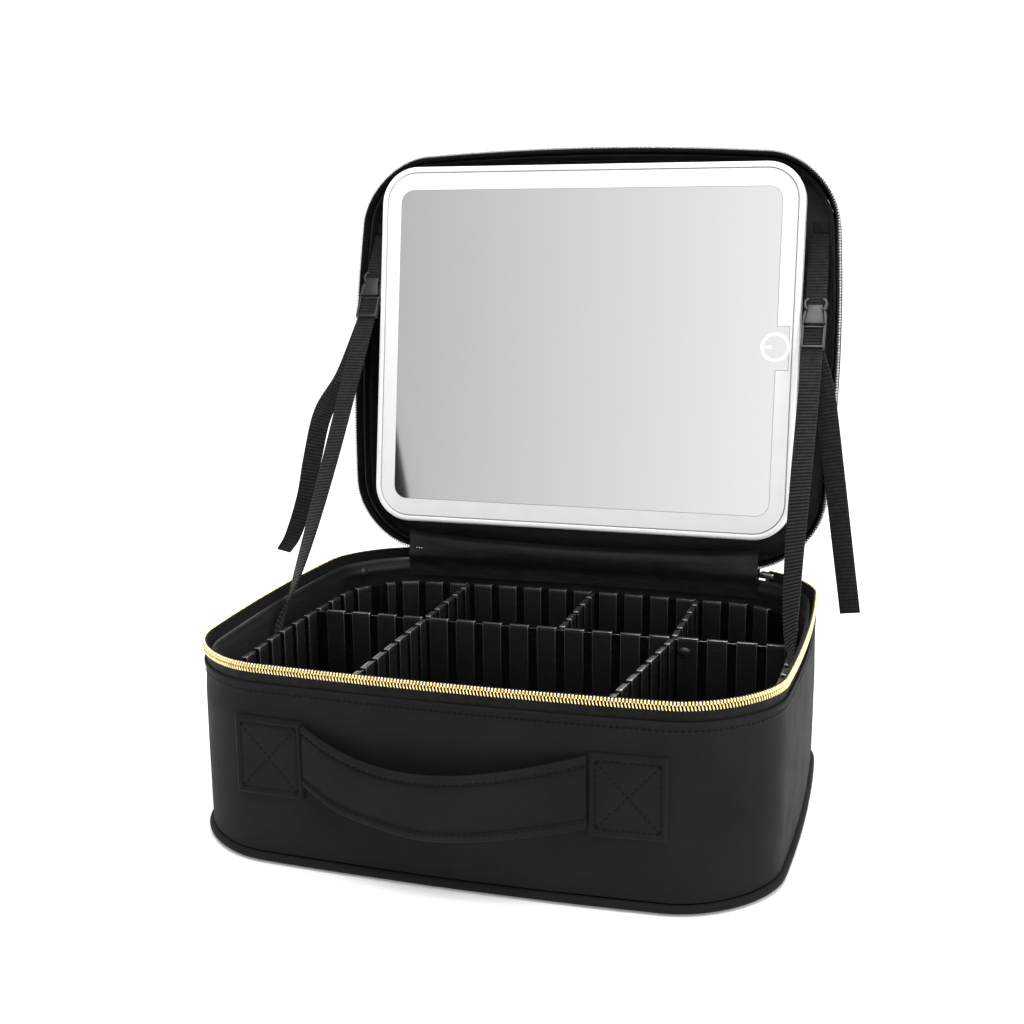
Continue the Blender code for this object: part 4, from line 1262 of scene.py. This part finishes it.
def moulded(name, parts, edge, placement):
    """Plates given as (plan outline in mm, back height, face height), with their edges rounded."""
    pieces = []
    for plan, back, face in parts:
        mesh = bmesh.new()
        skin(mesh, [[mesh.verts.new((x * MM, y * MM, z * MM)) for x, y in plan] for z in (back, face)])
        bmesh.ops.recalc_face_normals(mesh, faces=mesh.faces)
        sharp = [e for e in mesh.edges if e.calc_face_angle(0) > math.radians(35)]
        rounding = {"offset": edge, "segments": 3, "profile": 0.5, "clamp_overlap": True}
        bmesh.ops.bevel(mesh, geom=sharp, affect="EDGES", **rounding)
        pieces.append(new_object(name, mesh, "buckle_plastic"))
    whole = merged(name, pieces)
    whole.data.transform(placement)
    whole.data.set_sharp_from_angle(angle=math.radians(50))
    return whole


def mirrored(plan):
    return plan + [(-x, y) for x, y in reversed(plan)]


def both_sides(plan, back, face):
    return [(plan, back, face), ([(-x, y) for x, y in plan], back, face)]


def build_socket(name, placement):
    """The socket: a face plate, open at the sides, and two curved ears with the webbing bar between."""
    shield = mirrored([(3.9, 4.3), (3.6, 6.6), (3.9, 8.6), (4.5, 11.0), (4.9, 15.0)])
    ear = [(3.3, 0.0), (4.8, 0.1), (5.8, 1.1), (6.1, 2.8), (5.8, 4.6), (4.9, 6.0), (3.7, 6.9)]
    ear += [(3.4, 5.6), (4.3, 4.6), (4.7, 3.4), (4.6, 2.0), (3.9, 1.2), (3.2, 1.2)]
    bar = mirrored([(4.6, 0.9), (4.6, 2.4)])
    parts = [(shield, 2.2, -2.3), *both_sides(ear, 1.4, -1.4), (bar, 2.0, 0.8)]
    socket = moulded(f"buckle_socket_{name}_moulded", parts, 0.0004, placement)
    place(socket, f"strap_{name}", "buckle_plastic", f"buckle_socket_{name}")


def build_plug(name, placement):
    """The plug: a ladder frame for the webbing, with a springy arm up each side of the socket."""
    arm = [(4.9, -1.0), (4.7, -4.0), (4.2, -6.4), (4.1, -7.6)]
    arm += [(4.9, -8.3), (5.7, -7.6), (6.05, -5.5), (6.1, 0.0)]
    rail = [(6.1, 0.0), (6.0, 13.0), (4.7, 13.0), (4.7, 0.0)]
    tongue = mirrored([(2.2, -9.0), (3.0, -7.5), (3.0, 0.6)])
    top_bar = mirrored([(5.4, 0.2), (5.4, 1.3)])
    middle_bar = mirrored([(5.4, 6.0), (5.4, 7.6)])
    end_bar = mirrored([(5.9, 11.7), (5.9, 13.0)])
    parts = both_sides(rail, 1.6, -1.6) + both_sides(arm, 1.3, -1.3)
    parts += [(tongue, 0.7, -0.7), (top_bar, 1.3, -0.9), (middle_bar, 1.9, 0.8), (end_bar, -0.9, -1.8)]
    plug = moulded(f"buckle_plug_{name}_moulded", parts, 0.00035, placement)
    place(plug, f"plug_{name}", "buckle_plastic", f"buckle_plug_{name}")


def build_straps():
    for name, side in SIDES.items():
        socket_start = SOCKET_STARTS[name]
        top = LID_ANCHOR + Vector((side * STRAP_TOP_X, 0, 0)) + LINK_DIRECTION * 0.002
        join = link_frame(side, socket_start + 0.0036).translation
        upper = webbing(f"strap_upper_{name}_woven", [Vector((*top, 0)), Vector((*join, 0))])
        place(upper, f"strap_{name}", "webbing", f"strap_upper_{name}")
        build_socket(name, link_frame(side, socket_start))
        plug_start = socket_start + SOCKET_LENGTH
        build_plug(name, link_frame(side, plug_start))
        build_lower_webbing(name, side, plug_start + PLUG_LENGTH)
        build_tail(name, side, link_frame(side, plug_start + PLUG_LENGTH))
        patch = rounded_copy(f"strap_seam_{name}", f"strap_seam_{name}_sewn", 0.0003, "webbing")
        place(patch, "base", "webbing", f"strap_seam_{name}")
        tab = rounded_copy(f"strap_lid_tab_{name}", f"strap_lid_tab_{name}_sewn", 0.0005, "webbing")
        place(tab, "lid", "webbing", f"strap_lid_tab_{name}")


def build_lower_webbing(name, side, plug_end):
    """From inside the plug down to the seam in the base."""
    start = [link_frame(side, distance).translation for distance in (plug_end - 0.0112, plug_end)]
    knots = [Vector((*spot, 0)) for spot in start]
    knots += [Vector((side * x, y, z, math.radians(twist))) for x, y, z, twist in STRAP_FALL]
    lower = webbing(f"strap_lower_{name}_woven", knots)
    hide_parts(f"strap_lower_{name}")
    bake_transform(lower)


def build_tail(name, side, end):
    """The webbing's loose end, which hangs from the end of the plug."""
    behind = end @ Vector((side * 0.0010, 0.0016, 0.0016))
    places = [behind, *map(Vector, TAIL_PATHS[name])]
    turns = [TAIL_TWISTS[name] * i / (len(places) - 1) for i in range(len(places))]
    knots = [Vector((*spot, math.radians(turn))) for spot, turn in zip(places, turns)]
    tail = webbing(f"strap_tail_{name}_woven", knots)
    place(tail, f"plug_{name}", "webbing", f"strap_tail_{name}")
    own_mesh(tail)


# ---------------------------------------------------------------- hinge and sliders


def back_drop(x):
    """How far the back edge has drawn in by x from where it is at the middle."""
    over = max(abs(x) - (CASE_WIDTH / 2 - CORNER_RADIUS), 0.0)
    return SIDE_BOW - bow(x, CASE_WIDTH / 2) + CORNER_RADIUS - math.sqrt(CORNER_RADIUS**2 - over**2)


def fold_strip(name, path, thickness, material, wrinkle=0.0):
    """A strip along the back edge. Each point of path is y, z and its share of the lid's turn."""
    rows = []
    for step in range(HINGE_STEPS + 1):
        x = HINGE_HALF * (2 * step / HINGE_STEPS - 1)
        lost = back_drop(x)
        knots = [Vector((x, y - (1 - lid) * lost, z + lid * lost)) for y, z, lid in path]
        line = smooth_path(knots, 5)
        one, other = [], []
        for index, point in enumerate(line):
            before, after = line[max(index - 1, 0)], line[min(index + 1, len(line) - 1)]
            side = (after - before).cross(Vector((1, 0, 0))).normalized()
            lift = side * wrinkle * ripple(point, 0.020, 8)
            one.append(point + side * thickness / 2 + lift)
            other.append(point - side * thickness / 2 + lift)
        rows.append(one + other[::-1])
    return loft(name, rows, material, sharp=math.radians(80))


def build_hinge():
    outer = fold_strip("hinge_spine_leather", SPINE_FOLD, 0.0010, "outer_leather")
    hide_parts("hinge_spine")
    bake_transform(outer)
    inner = fold_strip("hinge_flap_satin", FLAP_FOLD, 0.0008, "satin_lining", wrinkle=0.0004)
    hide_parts("hinge_flap")
    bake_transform(inner)


def build_sliders():
    for name in SIDES:
        slider = rounded_copy(f"zip_slider_{name}", f"zip_slider_{name}_cast", 0.0009, "slider_metal", 4)
        place(slider, "base", "slider_metal", f"zip_slider_{name}")
        pull = rounded_copy(f"zip_pull_{name}", f"zip_pull_{name}_stamped", 0.0004, "slider_metal")
        place(pull, f"pull_{name}", "slider_metal", f"zip_pull_{name}")


# ---------------------------------------------------------------- studio


def build_floor():
    mesh = bmesh.new()
    bmesh.ops.create_circle(mesh, cap_ends=True, segments=64, radius=FLOOR_RADIUS)
    floor = new_object("studio_floor_disc", mesh, "studio_floor", smooth=False)


def build_world():
    world = bpy.data.worlds.new("studio")
    bpy.context.scene.world = world
    world.use_nodes = True
    tree = world.node_tree
    background = tree.nodes["Background"]
    coordinates = tree.nodes.new("ShaderNodeTexCoord")
    split = tree.nodes.new("ShaderNodeSeparateXYZ")
    brightest = tree.nodes.new("ShaderNodeMath")
    brightest.operation = "MAXIMUM"
    tree.links.new(coordinates.outputs["Generated"], split.inputs["Vector"])
    for index, (axis, source, target) in enumerate(WORLD_RAMPS):
        ramp = tree.nodes.new("ShaderNodeMapRange")
        ramp.inputs["From Min"].default_value, ramp.inputs["From Max"].default_value = source
        ramp.inputs["To Min"].default_value, ramp.inputs["To Max"].default_value = target
        tree.links.new(split.outputs[axis], ramp.inputs["Value"])
        tree.links.new(ramp.outputs["Result"], brightest.inputs[index])
    tree.links.new(brightest.outputs["Value"], background.inputs["Color"])
    background.inputs["Strength"].default_value = WORLD_STRENGTH


def build_lights():
    for name, (location, target, size, power) in LIGHTS.items():
        light = bpy.data.lights.new(name, "AREA")
        light.size = size
        light.energy = power
        obj = bpy.data.objects.new(name, light)
        obj.location = location
        obj.rotation_euler = (Vector(target) - Vector(location)).to_track_quat("-Z", "Y").to_euler()
        bpy.context.scene.collection.objects.link(obj)


def build_camera():
    ahead = Vector((-math.sin(CAMERA_YAW), math.cos(CAMERA_YAW), 0))
    forward = ahead * math.cos(CAMERA_PITCH) - Vector((0, 0, math.sin(CAMERA_PITCH)))
    level = Vector((math.cos(CAMERA_YAW), math.sin(CAMERA_YAW), 0))
    upright = level.cross(forward)
    right = level * math.cos(CAMERA_ROLL) + upright * math.sin(CAMERA_ROLL)
    up = upright * math.cos(CAMERA_ROLL) - level * math.sin(CAMERA_ROLL)
    camera = bpy.data.cameras.new("photo_view")
    camera.lens = CAMERA_LENS
    camera.sensor_width = 36.0
    camera.clip_start = 0.01
    obj = bpy.data.objects.new("photo_view", camera)
    axes = Matrix((right, up, -forward)).transposed().to_4x4()
    obj.matrix_world = Matrix.Translation(CAMERA_PLACE) @ axes
    bpy.context.scene.collection.objects.link(obj)
    bpy.context.scene.camera = obj
    bpy.context.scene.view_settings.view_transform = "Standard"


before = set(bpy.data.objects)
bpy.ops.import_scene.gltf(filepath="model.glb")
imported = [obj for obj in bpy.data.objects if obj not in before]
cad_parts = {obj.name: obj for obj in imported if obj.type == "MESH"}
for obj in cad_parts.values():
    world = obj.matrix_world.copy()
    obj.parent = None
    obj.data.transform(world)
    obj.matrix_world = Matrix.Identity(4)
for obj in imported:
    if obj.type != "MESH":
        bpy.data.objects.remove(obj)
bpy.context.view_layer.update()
make_materials()
build_base_shell()
build_base_lining()
build_insert_walls()
build_dividers()
build_fittings()
build_handle()
build_lid()
build_mirror()
build_straps()
build_hinge()
build_sliders()
build_floor()
build_world()
build_lights()
build_camera()
